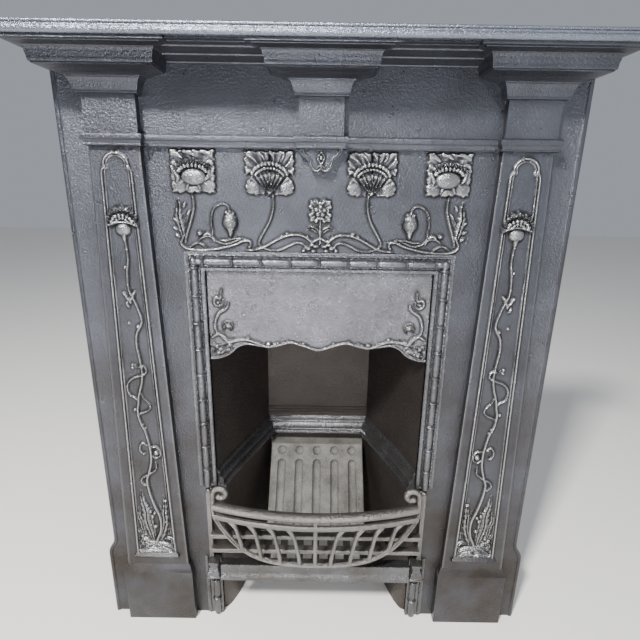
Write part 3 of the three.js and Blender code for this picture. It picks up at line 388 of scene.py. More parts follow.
def inner_flower(r, sign):
    x, z = sign * 93.0, 1024.0
    go = lambda a, b: (a, b) if sign > 0 else (180 - b, 180 - a)

    def draw(f):
        # Petals that fill the upper corners
        f.fan(x, z - 14, *go(92, 160), 16, 74, 2.4, 6.0, ribs=5, frill=0.03, lobes=4, rib=0.34)
        f.fan(x, z - 14, *go(20, 90), 16, 74, 2.4, 6.2, ribs=5, frill=0.03, lobes=4, rib=0.34)
        for a, b, c, d in ((-40, 34, -22, 20), (-20, 38, -8, 24), (2, 38, 8, 24), (26, 38, 20, 22), (42, 30, 28, 14)):
            f.blade([(x + a, z + b), (x + (a + c) / 2 + 2, z + (b + d) / 2), (x + c, z + d)], [3.4, 2.6, 1.4], 3.4, base=3.6)
        # Crown of small beads
        for n in range(13):
            turn = math.pi * (0.1 + 0.8 * n / 12)
            f.dome(x + 33 * math.cos(turn), z - 6 + 25 * math.sin(turn), 3.4, 4.4, 4.2, base=5.2)
        for n in range(12):
            turn = math.pi * (0.12 + 0.76 * n / 11)
            f.dome(x + 27 * math.cos(turn), z - 8 + 19 * math.sin(turn), 2.6, 3.2, 3.4, base=5.4)
        # Ribbed calyx that opens upwards from the stem
        f.fan(x, z - 38, 50, 130, 2, 41, 3.0, 8.5, ribs=7, frill=0.03, lobes=7, rib=0.26)
        for n in range(6):
            turn = math.radians(55 + 14 * n)
            f.blade([(x, z - 36), (x + 38 * math.cos(turn), z - 38 + 38 * math.sin(turn))], [0.8, 1.9], 9.6)
        # Leaves in the lower corners, striped
        for side in (-1, 1):
            f.fan(x + side * 4, z - 34, *((96, 176) if side < 0 else (4, 84)), 6, 44, 2.2, 5.0, ribs=6, rib=0.4)
            f.dome(x + side * 31, z - 24, 14, 12, 4.6, turn=0.6 * side, base=1.8, power=0.5)
            f.blade([(x + side * 4, z - 37), (x + side * 22, z - 35), (x + side * 38, z - 31)], [2.0, 4.2, 3.0], 5.6,
                    groove=1.4)
            f.blade([(x + side * 26, z + 2), (x + side * 37, z + 6), (x + side * 45, z)], [3, 4.6, 3], 6.0)
        f.dome(x, z - 37, 6, 4, 8.0)

    in_square(r, x, z, 44.5, 988.0, 1064.0, draw)


FRIEZE_LINES = [  # half width, rise, line on the right half
    (2.5, 4.6, [(236, 988), (234.5, 977), (235, 962), (240, 944), (247, 924), (252, 910), (254, 899)]),
    (2.7, 5.2, [(256, 912), (262, 899), (257, 891), (246, 886.5), (223, 885.5), (197, 888), (174, 893),
                (157, 898), (146, 903.5), (133, 904), (131, 897), (134, 891)]),
    (2.0, 4.0, [(246, 890), (238, 896.5), (229, 898.5), (221, 895), (214, 889)]),
    (1.8, 4.2, [(201, 908), (202, 922), (203, 937), (201, 955), (194, 966), (183, 971.5), (173, 969),
                (169, 961), (168, 953)]),
    (1.8, 3.8, [(202, 916), (198, 906), (188, 899.5), (175, 898), (163, 902), (152, 906)]),
    (1.7, 3.8, [(190, 905), (176, 904.5), (160, 908), (146, 908), (136, 905)]),
    (2.0, 4.0, [(229, 903), (222, 909), (213, 911.5), (204, 910), (199, 902)]),
    (2.4, 4.8, [(88, 990), (87, 977), (88, 962), (94, 942), (105, 922), (113, 908), (115, 899), (110, 893)]),
    (2.6, 5.2, [(139, 886.5), (123, 888), (108, 892), (94, 899.5), (79, 908), (63, 914.5), (48, 917),
                (33, 915.5), (22, 909), (15, 902), (10, 894)]),
    (2.0, 4.2, [(108, 891), (90, 886.5), (74, 888.5), (59, 895.5), (46, 901), (35, 901.5), (28, 896),
                (29, 889)]),
    (1.7, 4.0, [(0, 943), (0, 930), (0, 916), (0, 900)]),
]


def frieze_relief(x, z):
    r = Relief(x.copy(), z)
    for sign in (-1, 1):
        outer_flower(r, sign)
        inner_flower(r, sign)
        side = lambda points: [(sign * a, b) for a, b in points]
        for half, rise, line in FRIEZE_LINES:
            taper = [half * 0.75] + [half] * 4 + [half * 0.8]
            r.blade(side(line), taper, rise, groove=0.0)
        # Hanging bud with its collar and the split that shows the seed
        r.dome(sign * 168, 937, 14, 15, 9.5, power=0.55)
        r.blade(side([(168, 944), (167.5, 930), (168, 912)]), [13, 10.5, 2.0], 8.0)
        r.blade(side([(163, 946), (158, 936), (164, 922)]), [1.6, 2.2, 1.2], 10.2)
        r.blade(side([(170, 942), (175, 934), (170, 922)]), [1.2, 1.6, 1.0], 10.0)
        for dx, dz in ((-6, 3), (0, 5), (6, 2), (-2, 0)):
            r.dome(sign * 168 + dx, 953 + dz, 3.6, 3.4, 6.5)
        # Serrated leaf beside the outer stem
        r.blade(side([(255, 905), (260, 925), (264, 948), (263, 966), (264, 982)]),
                [2.5, 7.5, 8.5, 5.5, 1.2], 4.2, groove=1.8, teeth=7)
        for a, b, turn in ((245, 954, 2.2), (252, 968, 2.0), (270, 941, 0.6), (271, 925, 0.5), (268, 912, 0.6)):
            r.dome(sign * a, b, 6.0, 3.0, 4.4, turn=turn * sign)
        r.blade(side([(258, 930), (250, 942), (244, 955)]), [2.0, 3.6, 1.6], 4.6, groove=1.0)
        # Buds on the tendrils
        r.dome(sign * 226, 917, 5.2, 4.6, 6.5)
        r.blade(side([(219, 913), (212, 917), (205, 914)]), [2.0, 3.6, 2.0], 5.2)
        r.dome(sign * 62, 919, 4.5, 2.6, 5.0, turn=0.4)
        r.dome(sign * 72, 914, 3.5, 2.2, 5.0, turn=0.7)
        # Leaf curls and knots at the foot of the middle stem
        for a, b, s in ((22, 892, 5.5), (12, 887, 5.0), (6, 896, 4.5), (31, 887, 4.0), (17, 898, 4.0)):
            r.dome(sign * a, b, s, s * 0.8, 6.0)
        r.blade(side([(2, 918), (8, 926), (17, 930), (26, 926)]), [2.4, 5.0, 4.6, 1.4], 5.0, groove=1.5)
        r.blade(side([(3, 910), (12, 905), (20, 908), (24, 916)]), [2.0, 3.0, 2.6, 1.2], 4.6)
    # Rose in a square of leaves
    for quarter in range(4):
        turn = 90 * quarter
        r.fan(0, 961, turn + 8, turn + 82, 7, 21, 2.2, 6.0, ribs=3, frill=0.05, lobes=3, rib=0.25, square=0.9)
        r.fan(0, 961, turn - 30, turn + 30, 6, 17, 2.5, 6.5, frill=0.06, lobes=3, square=0.4)
    for n in range(5):
        turn = 2 * math.pi * n / 5 + 0.3
        r.dome(7.5 * math.cos(turn), 961 + 7.5 * math.sin(turn), 4.4, 4.4, 4.2, base=3.6)
    r.dome(0, 961, 4.0, 4.0, 5.0, base=4.0)
    return r.h


def frieze_face(x, z):
    h = frieze_relief(x, z)
    sand = 0.12 * np.sin(x * 0.9 + 1.3 * np.sin(z * 0.7)) * np.sin(z * 1.1 + 0.8 * np.sin(x * 0.5))
    return PANEL + h + sand * (h < 0.4), polish(h, 8.0)


# Relief of a pilaster; d runs from its axis towards the opening
def half_at(z):
    return FOOT_HALF + (TOP_HALF - FOOT_HALF) * (z - PLINTH_HEIGHT) / (FRIEZE_BOTTOM - PLINTH_HEIGHT)


def border_half(z):
    return BORDER_FOOT_HALF + (BORDER_TOP_HALF - BORDER_FOOT_HALF) * (z - BORDER_FOOT) / (BORDER_HEAD - BORDER_FOOT)


VINE = [(2, 912), (4, 895), (5, 870), (1, 845), (0, 812), (8, 790), (14, 772), (19, 750), (15, 736), (7, 722),
        (4, 699), (7, 670), (9, 650), (9, 632), (5, 611), (-2, 588), (-5, 570), (-8, 555), (-7, 535), (-2, 517),
        (3, 505), (8, 476), (10, 455), (9, 432), (2, 404), (-4, 386), (-3, 363), (1, 340), (8, 313), (15, 293),
        (17, 271), (14, 249), (7, 232), (1, 216)]
CURLS = [  # widths, rise, line
    ([1.0, 2.1, 2.1, 1.9, 1.6], 4.4, [(-5, 655), (1, 649), (11, 652), (18, 645), (15, 636), (3, 630), (-13, 624),
                                     (-22, 614), (-24, 601), (-20, 588), (-11, 582), (-4, 575)]),
    ([1.6, 1.9, 1.9, 1.4], 4.2, [(2, 592), (7, 580), (16, 570), (19, 561), (12, 552), (-3, 545), (-9, 540)]),
    ([1.6, 2.1, 2.1, 1.4], 4.4, [(18, 428), (19, 417), (13, 407), (-2, 397), (-13, 391), (-17, 382), (-13, 374),
                                 (-8, 370)]),
    ([1.3, 1.8, 1.9, 1.4], 4.0, [(3, 470), (-6, 476), (-12, 468), (-12, 456), (-5, 449), (0, 455)]),
    ([1.3, 1.9, 1.9, 1.3], 4.4, [(11, 466), (22, 467), (30, 458), (29, 446), (20, 440), (12, 446)]),
]
CURL_BALLS = [(22, 453, 6.0), (-9, 655, 3.4), (-9, 648, 3.0), (-14, 554, 3.6), (-1, 520, 2.8), (3, 511, 2.8),
              (5, 700, 2.6), (-7, 742, 2.8), (10, 735, 4.0), (-8, 372, 3.4), (4, 873, 2.6), (-3, 852, 2.4)]
LEAF_LEFT = [
    ([2, 8, 12, 11, 7, 1.2], 3.8, 9, [(-2, 214), (-8, 246), (-14, 276), (-14, 304), (-19, 330), (-21, 362)]),
    ([2, 5, 7, 5, 1.2], 3.4, 7, [(-6, 222), (-22, 246), (-26, 272), (-31, 292), (-28, 318)]),
    ([2, 4, 5, 3, 1], 4.4, 5, [(0, 220), (-2, 256), (-6, 292), (-3, 318)]),
    ([2, 4, 4, 1], 4.0, 4, [(-12, 226), (-26, 232), (-33, 250), (-37, 262)]),
]
LEAF_RIGHT = [
    ([2, 7, 8, 7, 4, 1.2], 3.8, 9, [(8, 214), (18, 242), (26, 270), (27, 300), (29, 324), (26, 350)]),
    ([2, 4, 5, 3, 1], 4.4, 5, [(12, 222), (18, 258), (21, 290), (17, 322)]),
    ([2, 3, 4, 1], 3.6, 4, [(16, 224), (30, 236), (35, 256), (36, 276)]),
]


def vine_relief(d, z):
    r = Relief(d, z)
    # Double moulding that frames the sunk panel, with a round head on small shoulders
    head, arch = BORDER_HEAD - 4, 22.0
    spring = head - arch - 3
    wide = border_half(z)
    for inset, rise, half in ((2.0, 3.4, 2.3), (7.0, 2.2, 1.5)):
        off = np.abs(np.abs(d) - (wide - inset))
        side = (z < spring - 8) & (z > BORDER_FOOT - 3)
        h = np.where(side & (off < half), rise * np.clip(1 - (off / half) ** 2, 0, 1) ** 0.6, 0)
        r.h = np.maximum(r.h, h)
        radius = arch - (inset - 2) * 0.9
        top = float(border_half(spring)) - inset
        shoulder = [(top, spring - 10), (top - 1.5, spring - 3), (top - 6, spring - 0.5), (radius - 1.5, spring + 4)]
        round_head = [(radius * math.sin(a), spring + 4 + (radius - 1) * math.cos(a))
                      for a in np.linspace(1.45, -1.45, 11)]
        line = shoulder + round_head + [(-a, b) for a, b in reversed(shoulder)]
        r.blade(line, [half], rise, steps=5)
    for a, b in ((1, 0), (-1, 0)):
        r.dome(a * (border_half(spring) - 7), spring + 1, 4.2, 3.6, 4.0)
    # Seed head: a cap with a crimped rim and beads, on a smooth bulb
    r.fan(2, 936, -14, 194, 8, 29, 2.4, 6.2, ribs=8, frill=0.05, lobes=9, rib=0.26)
    r.blade([(-25, 933), (-18, 951), (2, 960), (22, 951), (29, 932)], [2.6, 3.6, 4.0, 3.6, 2.6], 4.2, base=3.6, veins=1.2)
    for n in range(8):
        turn = math.radians(12 + 156 * n / 7)
        r.dome(2 + 19 * math.cos(turn), 935 + 14 * math.sin(turn), 3.2, 4.0, 4.0, turn=turn + 1.57, base=5.2)
    for n in range(6):
        turn = math.radians(20 + 140 * n / 5)
        r.dome(2 + 12 * math.cos(turn), 934 + 9 * math.sin(turn), 2.6, 2.8, 3.2, base=6.4)
    r.blade([(-24, 931), (-12, 935), (2, 937), (16, 935), (28, 930)], [2.4, 3.0, 3.0, 3.0, 2.4], 8.0)
    r.dome(2, 924, 14.5, 13, 9.0, power=0.55)
    r.blade([(2, 916), (3, 905)], [7, 3.4], 6.4)
    # Vine, its collar and curls
    r.blade(VINE, [2.2, 2.4, 2.5, 2.5, 2.7, 3.0, 3.4], 5.0)
    for widths, rise, line in CURLS:
        r.blade(line, widths, rise)
    for a, b, s in CURL_BALLS:
        r.dome(a, b, s, s, s * 1.15)
    for a, b, turn in ((-8, 800, 2.4), (-4, 793, 2.2), (8, 802, 0.8), (5, 794, 0.9), (1, 788, 1.57), (-5, 780, 2.0)):
        r.dome(a, b, 7.0, 3.2, 5.6, turn=turn)
    # Sheath of saw-edged leaves over a swirl of roots
    for widths, rise, teeth, line in LEAF_LEFT + LEAF_RIGHT:
        r.blade(line, widths, rise, groove=1.4, teeth=teeth)
    for a, b, s in ((-11, 318, 4), (-4, 302, 4), (4, 298, 3.6), (-1, 288, 3.8), (3, 262, 4.4), (-20, 242, 4),
                    (-27, 236, 4), (31, 331, 3), (30, 301, 3.2), (29, 277, 3.6), (-6, 268, 3.2), (-14, 258, 3.2)):
        r.dome(a, b, s, s * 0.9, 5.4)
    swirl = [[(-38, 204), (-24, 216), (-6, 220), (14, 217), (32, 210), (39, 198)],
             [(-33, 198), (-18, 206), (0, 207), (18, 204), (32, 197)],
             [(-28, 214), (-30, 224), (-20, 229), (-10, 222)],
             [(36, 214), (40, 226), (32, 232), (24, 226)],
             [(-40, 196), (-28, 194), (-14, 197), (0, 195), (16, 196), (36, 193)]]
    for line in swirl:
        r.blade(line, [2.0, 4.6, 5.0, 4.6, 2.0], 5.4, groove=1.6)
    r.blade([(-20, 210), (-4, 214), (12, 210)], [3, 5, 3], 6.8, groove=1.2)
    return r.h


def pilaster_face(x, z):
    d = AXIS - np.abs(x)
    h = vine_relief(d, z)
    edge = np.clip((half_at(z) - np.abs(d)) / 2.0, 0, 1)
    # Its rounded side edges are painted bright as well, a painted highlight along the edge
    return PILASTER_FACE + h - 1.2 * (1 - edge) ** 2, np.maximum(polish(h, 6.0), 0.6 * (1 - edge))


# Canopy: places are in from the side of the opening and above the floor
WAVE = [(-29, 690), (0, 681.5), (29, 690), (55, 697), (77, 691.5), (95, 687.5), (113, 688.5), (129, 691.5), (145, 693.5),
        (157, 690.5), (167, 684.5), (177, 674.5), (191, 666.5), (205, 662.5), (CANOPY_HALF, 661)]


def wave_at(x):
    line = smooth_line(WAVE, 6)
    return np.interp(np.abs(x), line[:, 0], line[:, 1])


def canopy_face(x, z):
    r = Relief(np.abs(x), z)
    # Rolled lip that grows into a knotted twig and turns into the corner leaf
    lip = [(-29, 694), (0, 685), (29, 694), (55, 700.5), (77, 695.5), (95, 691.5), (105, 691), (117, 695),
           (129, 700.5), (145, 705), (159, 704.5), (172, 702), (182, 699), (192, 712), (203, 716), (214, 710)]
    r.blade(lip, [3.2, 3.4, 3.6, 3.6, 3.8, 4.0, 4.2, 3.0], 5.4)
    edge = z - wave_at(x)
    rim = np.where(edge < 5, 2.6 * np.clip(1 - ((edge - 2.4) / 2.6) ** 2, 0, 1) ** 0.6, 0)
    r.h = np.maximum(r.h, rim)
    for a, b, s in ((142, 709, 3.4), (101, 697, 4.2), (88, 696, 3.6), (82, 699, 3.2), (30, 699, 2.8), (62, 704, 2.6),
                    (176, 704, 3.6), (120, 699, 2.6)):
        r.dome(a, b, s * 1.4, s, 5.8)
    # Corner leaf, hanging below the twig
    r.blade([(180, 700), (190, 690), (203, 684), (216, 686)], [3, 12, 15, 9], 3.0, groove=1.4, veins=0.7)
    r.blade([(176, 694), (180, 684), (188, 677), (200, 672), (212, 670)], [2, 7, 9, 8, 5], 3.4, groove=1.2, veins=0.6)
    for a, b, s in ((184, 700, 4.5), (179, 693, 4.5), (206, 690, 4), (199, 684, 4.2), (182, 684, 4.6), (203, 676, 4),
                    (212, 695, 4)):
        r.dome(a, b, s, s * 0.85, 5.0)
    # Curled bud beside it
    r.blade([(190, 724), (191, 735), (184, 741), (176, 738), (173, 729), (178, 722)], [2.2, 3.6, 4.4, 4.2, 3.2, 1.6], 5.4,
            groove=1.4)
    r.dome(181, 734, 5.5, 5.0, 6.6)
    # Stem and the spiral tendril above
    r.blade([(181, 699), (196, 712), (206, 724), (207, 738), (204, 750), (199, 760), (188, 767), (181, 774), (179, 783)],
            [2.2, 2.4, 2.8, 3.4, 3.4, 1.6], 5.0)
    r.blade([(190, 811), (193, 803), (193, 793), (196, 790), (203, 792), (207, 786), (205, 778), (198, 775), (191, 779),
             (190, 787)], [1.4, 2.4, 2.8, 3.2, 3.0, 2.4, 1.8], 5.0)
    r.dome(199, 782, 3.2, 3.2, 5.0)
    return CANOPY_FACE + r.h, polish(r.h, 5.0)


# The castings
def ring_at(points, z):
    return [at(x, front, z) for x, front in points]


def u_section(x, half, face, wall=7.0):
    """Plan of a channel that is open at the wall."""
    inner = max(face - wall, 1.0)
    return [(x - half, 0), (x - half, face), (x + half, face), (x + half, 0),
            (x + half - wall, 0), (x + half - wall, inner), (x - half + wall, inner), (x - half + wall, 0)]


def box(bm, x0, x1, f0, f1, z0, z1):
    loft(bm, [[at(x0, f0, z), at(x0, f1, z), at(x1, f1, z), at(x1, f0, z)] for z in (z0, z1)])


def build_plates(s):
    """The flat panel round the opening and the flanges that lie on the chimney breast."""
    bm = bmesh.new()
    side = [(OPENING_HALF, 0), (OPENING_HALF, CAP_TOP), (NOTCH_HALF, CAP_TOP), (NOTCH_HALF, CANE_STOP),
            (OPENING_HALF, CANE_STOP), (OPENING_HALF, OPENING_TOP)]
    outline = [(322, FRIEZE_LOW), (322, 0)] + side + [(-x, z) for x, z in reversed(side)]
    outline += [(-322, 0), (-322, FRIEZE_LOW)]
    loft(bm, [[at(x, f, z) for x, z in outline] for f in (0, PANEL)])
    for sign in (-1, 1):
        step = [(1, 11), (0.97, 17), (0.9, 23), (0.76, 29), (0.58, 34), (0.36, 39), (0.18, 44), (0.06, 50), (0, 59)]
        rows = [(FLANGE_FOOT, 0)]
        rows += [(FLANGE_HALF + a * (FLANGE_FOOT - FLANGE_HALF), PLINTH_HEIGHT + b) for a, b in step]
        rows += [(FLANGE_HALF, BLOCK_TOP)]
        rings = []
        for edge, z in rows:
            section = [(400, 0), (400, PANEL), (edge - 11, PANEL), (edge - 9, PANEL + 1), (edge - 7.5, PANEL + 2.6),
                       (edge - 5, PANEL + 3), (edge - 2, PANEL + 2.4), (edge, PANEL + 0.5), (edge, 0)]
            rings.append([at(sign * x, f, z) for x, f in section])
        loft(bm, rings)
        inner, outer = sorted((sign * (FLANGE_HALF - 16), sign * (FLANGE_HALF - 0.2)))
        box(bm, inner, outer, -BACK_RIM, 1, 0, BLOCK_TOP)
    return piece("plates", bm, "surround", "polished cast iron")


def build_frieze(s):
    """The cast panel of poppies above the opening, with the rose and the corner pendant."""
    cells = s.relief_cells
    slab("frieze_panel", int(4.64 * cells), int(1.40 * cells),
         lambda u, v: (-322 + 644 * u, FRIEZE_LOW + (FRIEZE_BOTTOM + 2 - FRIEZE_LOW) * v),
         frieze_face, 0.5, "surround", "polished cast iron")

    foot = [(0, 0.90), (3, 0.97), (7, 1.0), (11, 0.985), (15, 0.95), (18.5, 0.87), (20.5, 0.76), (22, 0.62),
            (24.5, 0.48), (28, 0.41), (33, 0.34), (37, 0.23), (38.6, 0.1), (39, 0.0)]
    foot = np.array(foot)

    def low(x):
        return FRIEZE_BOTTOM + 2 - PENDANT_DROP * np.interp(np.abs(x), foot[:, 0], foot[:, 1])

    def place(u, v):
        x = -39 + 78 * u
        return x, low(x) + (FRIEZE_BOTTOM + 3 - low(x)) * v

    def face(x, z):
        r = Relief(x, z)
        edge = np.clip(np.minimum((z - low(x)) / 2.6, (39 - np.abs(x)) / 1.6), 0, 1)
        for sign in (-1, 1):
            line = [(sign * a * 0.86, FRIEZE_BOTTOM + 5.5 - PENDANT_DROP * b) for a, b in foot[::2]]
            r.blade(line, [1.3], 1.6)
            r.blade([(0, 1063), (sign * 6, 1054), (sign * 3.5, 1047), (0, 1041)], [1.3, 1.9, 1.9, 1.2], 4.2)
        r.dome(0, 1053, 3.4, 4.6, 5.0)
        r.dome(0, 1044, 3.0, 2.6, 4.6)
        r.blade([(-7, 1036), (-2, 1040), (0, 1036), (2, 1040), (7, 1036)], [1.2, 1.6, 1.2, 1.6, 1.2], 3.0)
        # Its rounded outline is painted bright as well, a painted highlight along the edge
        return 24.0 - 2.0 * (1 - edge) ** 2 + r.h, np.maximum(polish(r.h, 4.0), 0.8 * (1 - edge))

    slab("pendant", 72, 44, place, face, 1.0, "surround", "polished cast iron")


def build_pilasters(s):
    """Two tapering pilasters with the vine in a sunk panel, hollow behind."""
    cells = s.relief_cells
    for sign, name in ((-1, "left"), (1, "right")):
        def place(u, v):
            z = PLINTH_HEIGHT - 2 + (FRIEZE_BOTTOM + 4 - PLINTH_HEIGHT) * v
            return sign * AXIS + half_at(z) * (2 * u - 1), z

        slab("pilaster_" + name, int(0.96 * cells), int(5.2 * cells), place, pilaster_face, PILASTER_FACE - 7,
             "surround", "polished cast iron")
        bm = bmesh.new()
        for edge in (-1, 1):
            rings = []
            for z in (PLINTH_HEIGHT - 2, FRIEZE_BOTTOM + 2):
                x = sign * AXIS + edge * half_at(z)
                rings.append([at(x, 0, z), at(x, PILASTER_FACE - 6.5, z), at(x - edge * 7, PILASTER_FACE - 6.5, z),
                              at(x - edge * 7, 0, z)])
            loft(bm, rings)
        # Sill of the sunk panel
        rows = [(0, 0), (5.5, 1.5), (7, 4), (6.2, 7), (3, 11), (0.5, 14)]
        rings = [[at(sign * AXIS + a * (45 + out), f, BORDER_FOOT - 14 + up)
                  for a, f in ((-1, 20), (-1, PILASTER_FACE + out), (1, PILASTER_FACE + out), (1, 20))]
                 for out, up in rows]
        loft(bm, rings)
        # Plinth, its top chamfered back to the shaft
        rings = []
        for inset, face, z in ((0, PLINTH_FACE, 0), (0, PLINTH_FACE, PLINTH_HEIGHT - BEVEL_HEIGHT),
                               (BEVEL, PILASTER_FACE, PLINTH_HEIGHT)):
            rings.append(ring_at(u_section(sign * AXIS, PLINTH_HALF - inset, face), z))
        loft(bm, rings)
        soften(bm, s.edge_radius / MM, 30, 3)
        piece("pilaster_body_" + name, bm, "surround", "polished cast iron")


ASTRAGAL = [(0, 0), (0.5, 0), (0.62, 0.04), (0.62, 0.1), (0.45, 0.13), (0.42, 0.2), (0.5, 0.32), (0.62, 0.42),
            (0.7, 0.48), (0.85, 0.5), (0.97, 0.56), (1, 0.66), (1, 0.8), (0.95, 0.9), (0.8, 0.97), (0.55, 1), (0, 1)]
CORNICE = [(0, 0), (0.05, 0.005), (0.085, 0.015), (0.09, 0.03), (0.09, 0.07), (0.105, 0.09), (0.12, 0.15),
           (0.135, 0.21), (0.15, 0.26), (0.17, 0.3), (0.19, 0.335), (0.21, 0.345), (0.215, 0.375), (0.28, 0.405),
           (0.36, 0.435), (0.43, 0.465), (0.49, 0.485), (0.55, 0.5), (0.61, 0.51), (0.625, 0.52), (0.625, 0.54),
           (0.655, 0.55), (0.66, 0.57), (0.665, 0.65), (0.68, 0.725), (0.69, 0.78), (0.71, 0.835), (0.74, 0.865),
           (0.8, 0.89), (0.86, 0.91), (0.89, 0.915), (0.895, 0.93), (1, 0.935), (1, 1)]


def build_cornices(s):
    """Three corniced blocks, the sunk runs between them and the astragal that ties them together."""
    bm = bmesh.new()
    for x, half in ((-AXIS, BLOCK_HALF), (0, CENTRE_HALF), (AXIS, BLOCK_HALF)):
        rows = [(out * ASTRAGAL_RISE, FRIEZE_BOTTOM + up * ASTRAGAL_HEIGHT) for out, up in ASTRAGAL]
        rows += [(out * CORNICE_OUT, BLOCK_TOP - CORNICE_HEIGHT + up * CORNICE_HEIGHT) for out, up in CORNICE]
        loft(bm, [ring_at(u_section(x, half + out, BLOCK_FACE + out), z) for out, z in rows])
    profile = [(5, FRIEZE_BOTTOM)]
    profile += [(RECESS_FACE + out * ASTRAGAL_RISE, FRIEZE_BOTTOM + up * ASTRAGAL_HEIGHT) for out, up in ASTRAGAL]
    run = [(0, 1), (0.02, 0.96), (0.03, 0.86), (0.08, 0.8), (0.2, 0.74), (0.37, 0.67), (0.38, 0.56), (0.4, 0.5),
           (0.55, 0.47), (0.72, 0.4), (0.73, 0.28), (0.75, 0.22), (0.88, 0.19), (0.89, 0.14), (1, 0.12), (1, 0)]
    profile += [(RECESS_FACE + out * RECESS_CORNICE_OUT, BLOCK_TOP - down * RECESS_CORNICE_HEIGHT)
                for out, down in run]
    profile += [(5, BLOCK_TOP)]
    for x0, x1 in ((-AXIS + BLOCK_HALF - 8, -CENTRE_HALF + 8), (CENTRE_HALF - 8, AXIS - BLOCK_HALF + 8)):
        loft(bm, [[at(x, f, z) for f, z in profile] for x in (x0, x1)])
    return piece("cornices", bm, "surround", "polished cast iron", 28)


CANE = [(0.8, 0.05), (0.88, 0.08), (0.96, 0.2), (1.0, 0.5), (0.96, 0.8), (0.88, 0.92), (0.8, 0.945), (0.86, 0.956),
        (1.12, 0.965), (1.3, 0.982), (1.36, 1.0), (1.3, 1.018), (1.12, 1.035), (0.86, 1.044)]


def cane(bm, start, end, first, radius=CANE_RADIUS):
    """A bamboo-like rod; the first knot is this far from its start and the next ones a pitch apart."""
    length = (end - start).length / MM
    profile = [(0.0, 0.0), (0.6 * radius, 0.1)]
    knot = first - CANE_PITCH
    while knot < length:
        for r, up in CANE:
            d = knot + up * CANE_PITCH
            if 1 < d < length - 1:
                profile.append((r * radius, d))
        knot += CANE_PITCH
    profile += [(0.6 * radius, length - 0.1), (0.0, length)]
    turned(bm, profile, start, end)


def build_frame(s):
    """The mitred border of the opening with its bead-and-reel canes and feathered edge."""
    bm = bmesh.new()
    section = [(0, 0.3), (0, FRAME_FACE - 1.5), (1.5, FRAME_FACE), (7, FRAME_FACE), (8.5, FRAME_FACE - 1.6),
               (10, FRAME_FACE - 2), (28, FRAME_FACE - 2), (29, FRAME_FACE - 0.5), (31, FRAME_FACE + 0.6),
               (33, FRAME_FACE), (34, PANEL + 2), (38, PANEL + 2), (39, PANEL + 0.8), (39, 0.3)]
    path = [(-1, 0, -OPENING_HALF, CANE_STOP), (-1, 1, -OPENING_HALF, OPENING_TOP), (1, 1, OPENING_HALF, OPENING_TOP),
            (1, 0, OPENING_HALF, CANE_STOP)]
    loft(bm, [[at(x + dx * out, f, z + dz * out) for out, f in section] for dx, dz, x, z in path])
    for sign in (-1, 1):
        loft(bm, [[at(sign * (OPENING_HALF + out), f, z) for out, f in section] for z in (0, CAP_TOP - 2)])
        front = FRAME_FACE + CANE_RADIUS * 0.35
        x, top = sign * (OPENING_HALF + CANE_INSET), OPENING_TOP + CANE_INSET
        cane(bm, at(x, front, top), at(x, front, CANE_STOP), 11)
        cane(bm, at(sign * CAP_AXIS, front, CAP_BOTTOM + 2), at(sign * CAP_AXIS, front, 1), 26)
        ball(bm, at(x, front, top), 8.6, 8.6, 8.6)
        # Flared cap under the post of the front bar
        rows = [(1, 0), (5, 0.5), (6.5, 2), (6.9, 4), (6.5, 6), (5.4, 7), (5, 10), (4, 16), (1.6, 22), (0, 27), (-0.8, 31),
                (-1, 34), (0.5, 34.6), (2, 35.5), (2.2, 38), (2, 40.6), (1.5, 41)]
        rings = []
        for out, up in rows:
            half, face = 10 + out, FRAME_FACE + 22 + out
            rings.append([at(sign * CAP_AXIS + a * half, f, CAP_BOTTOM + up)
                          for a, f in ((-1, 8), (-1, face - 2), (-0.86, face), (0.86, face), (1, face - 2), (1, 8))])
        loft(bm, rings)
        # Feathered edge outside the cane
        for n in range(44):
            z = CANE_STOP + 4 + n * 11.2
            if z < OPENING_TOP + 20:
                for lean, out in ((4.0, 27.5), (-2.5, 31.5)):
                    x0 = sign * (OPENING_HALF + out)
                    tube(bm, [at(x0, FRAME_FACE - 1.0, z), at(x0 + sign * lean * 0.5, FRAME_FACE + 0.6, z + 7),
                              at(x0 + sign * lean, FRAME_FACE - 0.6, z + 14)], [0.5, 1.9, 0.4], 6)
    front = FRAME_FACE + CANE_RADIUS * 0.35
    reach, top = OPENING_HALF + CANE_INSET, OPENING_TOP + CANE_INSET
    cane(bm, at(-reach, front, top), at(reach, front, top), reach % CANE_PITCH)
    for n in range(40):
        x = -OPENING_HALF - 12 + n * 11.6
        tube(bm, [at(x, FRAME_FACE - 0.8, OPENING_TOP + 30), at(x + 6, FRAME_FACE + 0.8, OPENING_TOP + 31.5),
                  at(x + 12, FRAME_FACE - 0.6, OPENING_TOP + 30.5)], [0.4, 1.7, 0.4], 6)
    return piece("opening_frame", bm, "surround", "burnished cast iron with painted highlight", 40)


def build_shelf(s):
    """The mantel shelf, a plate with a rolled and stepped edge."""
    bm = bmesh.new()
    half, front = AXIS + BLOCK_HALF + CORNICE_OUT + SHELF_OVER, BLOCK_FACE + CORNICE_OUT + SHELF_OVER
    rows = [(-7, 0), (-4.5, 0.3), (-2, 1.6), (-0.6, 3.6), (0, 6), (0, 9), (-0.7, 11.2), (-3, 13), (-5, 13.6), (-5, 17.6),
            (-4.2, 18), (-3.2, 19), (-3, 20.5), (-3.2, 22.3), (-4, 23.6), (-5.4, 24)]
    rings = []
    for out, up in rows:
        h, f = half + out, front + out
        corner = [(h, 0)]
        for turn in range(0, 91, 18):
            a = math.radians(turn)
            corner.append((h - 7 + 7 * math.cos(a), f - 7 + 7 * math.sin(a)))
        rings.append(ring_at(corner + [(-x, y) for x, y in reversed(corner)], SHELF_BOTTOM + up * SHELF_THICK / 24))
    loft(bm, rings)
    return piece("shelf", bm, "mantel_shelf", "shelf iron", 30)


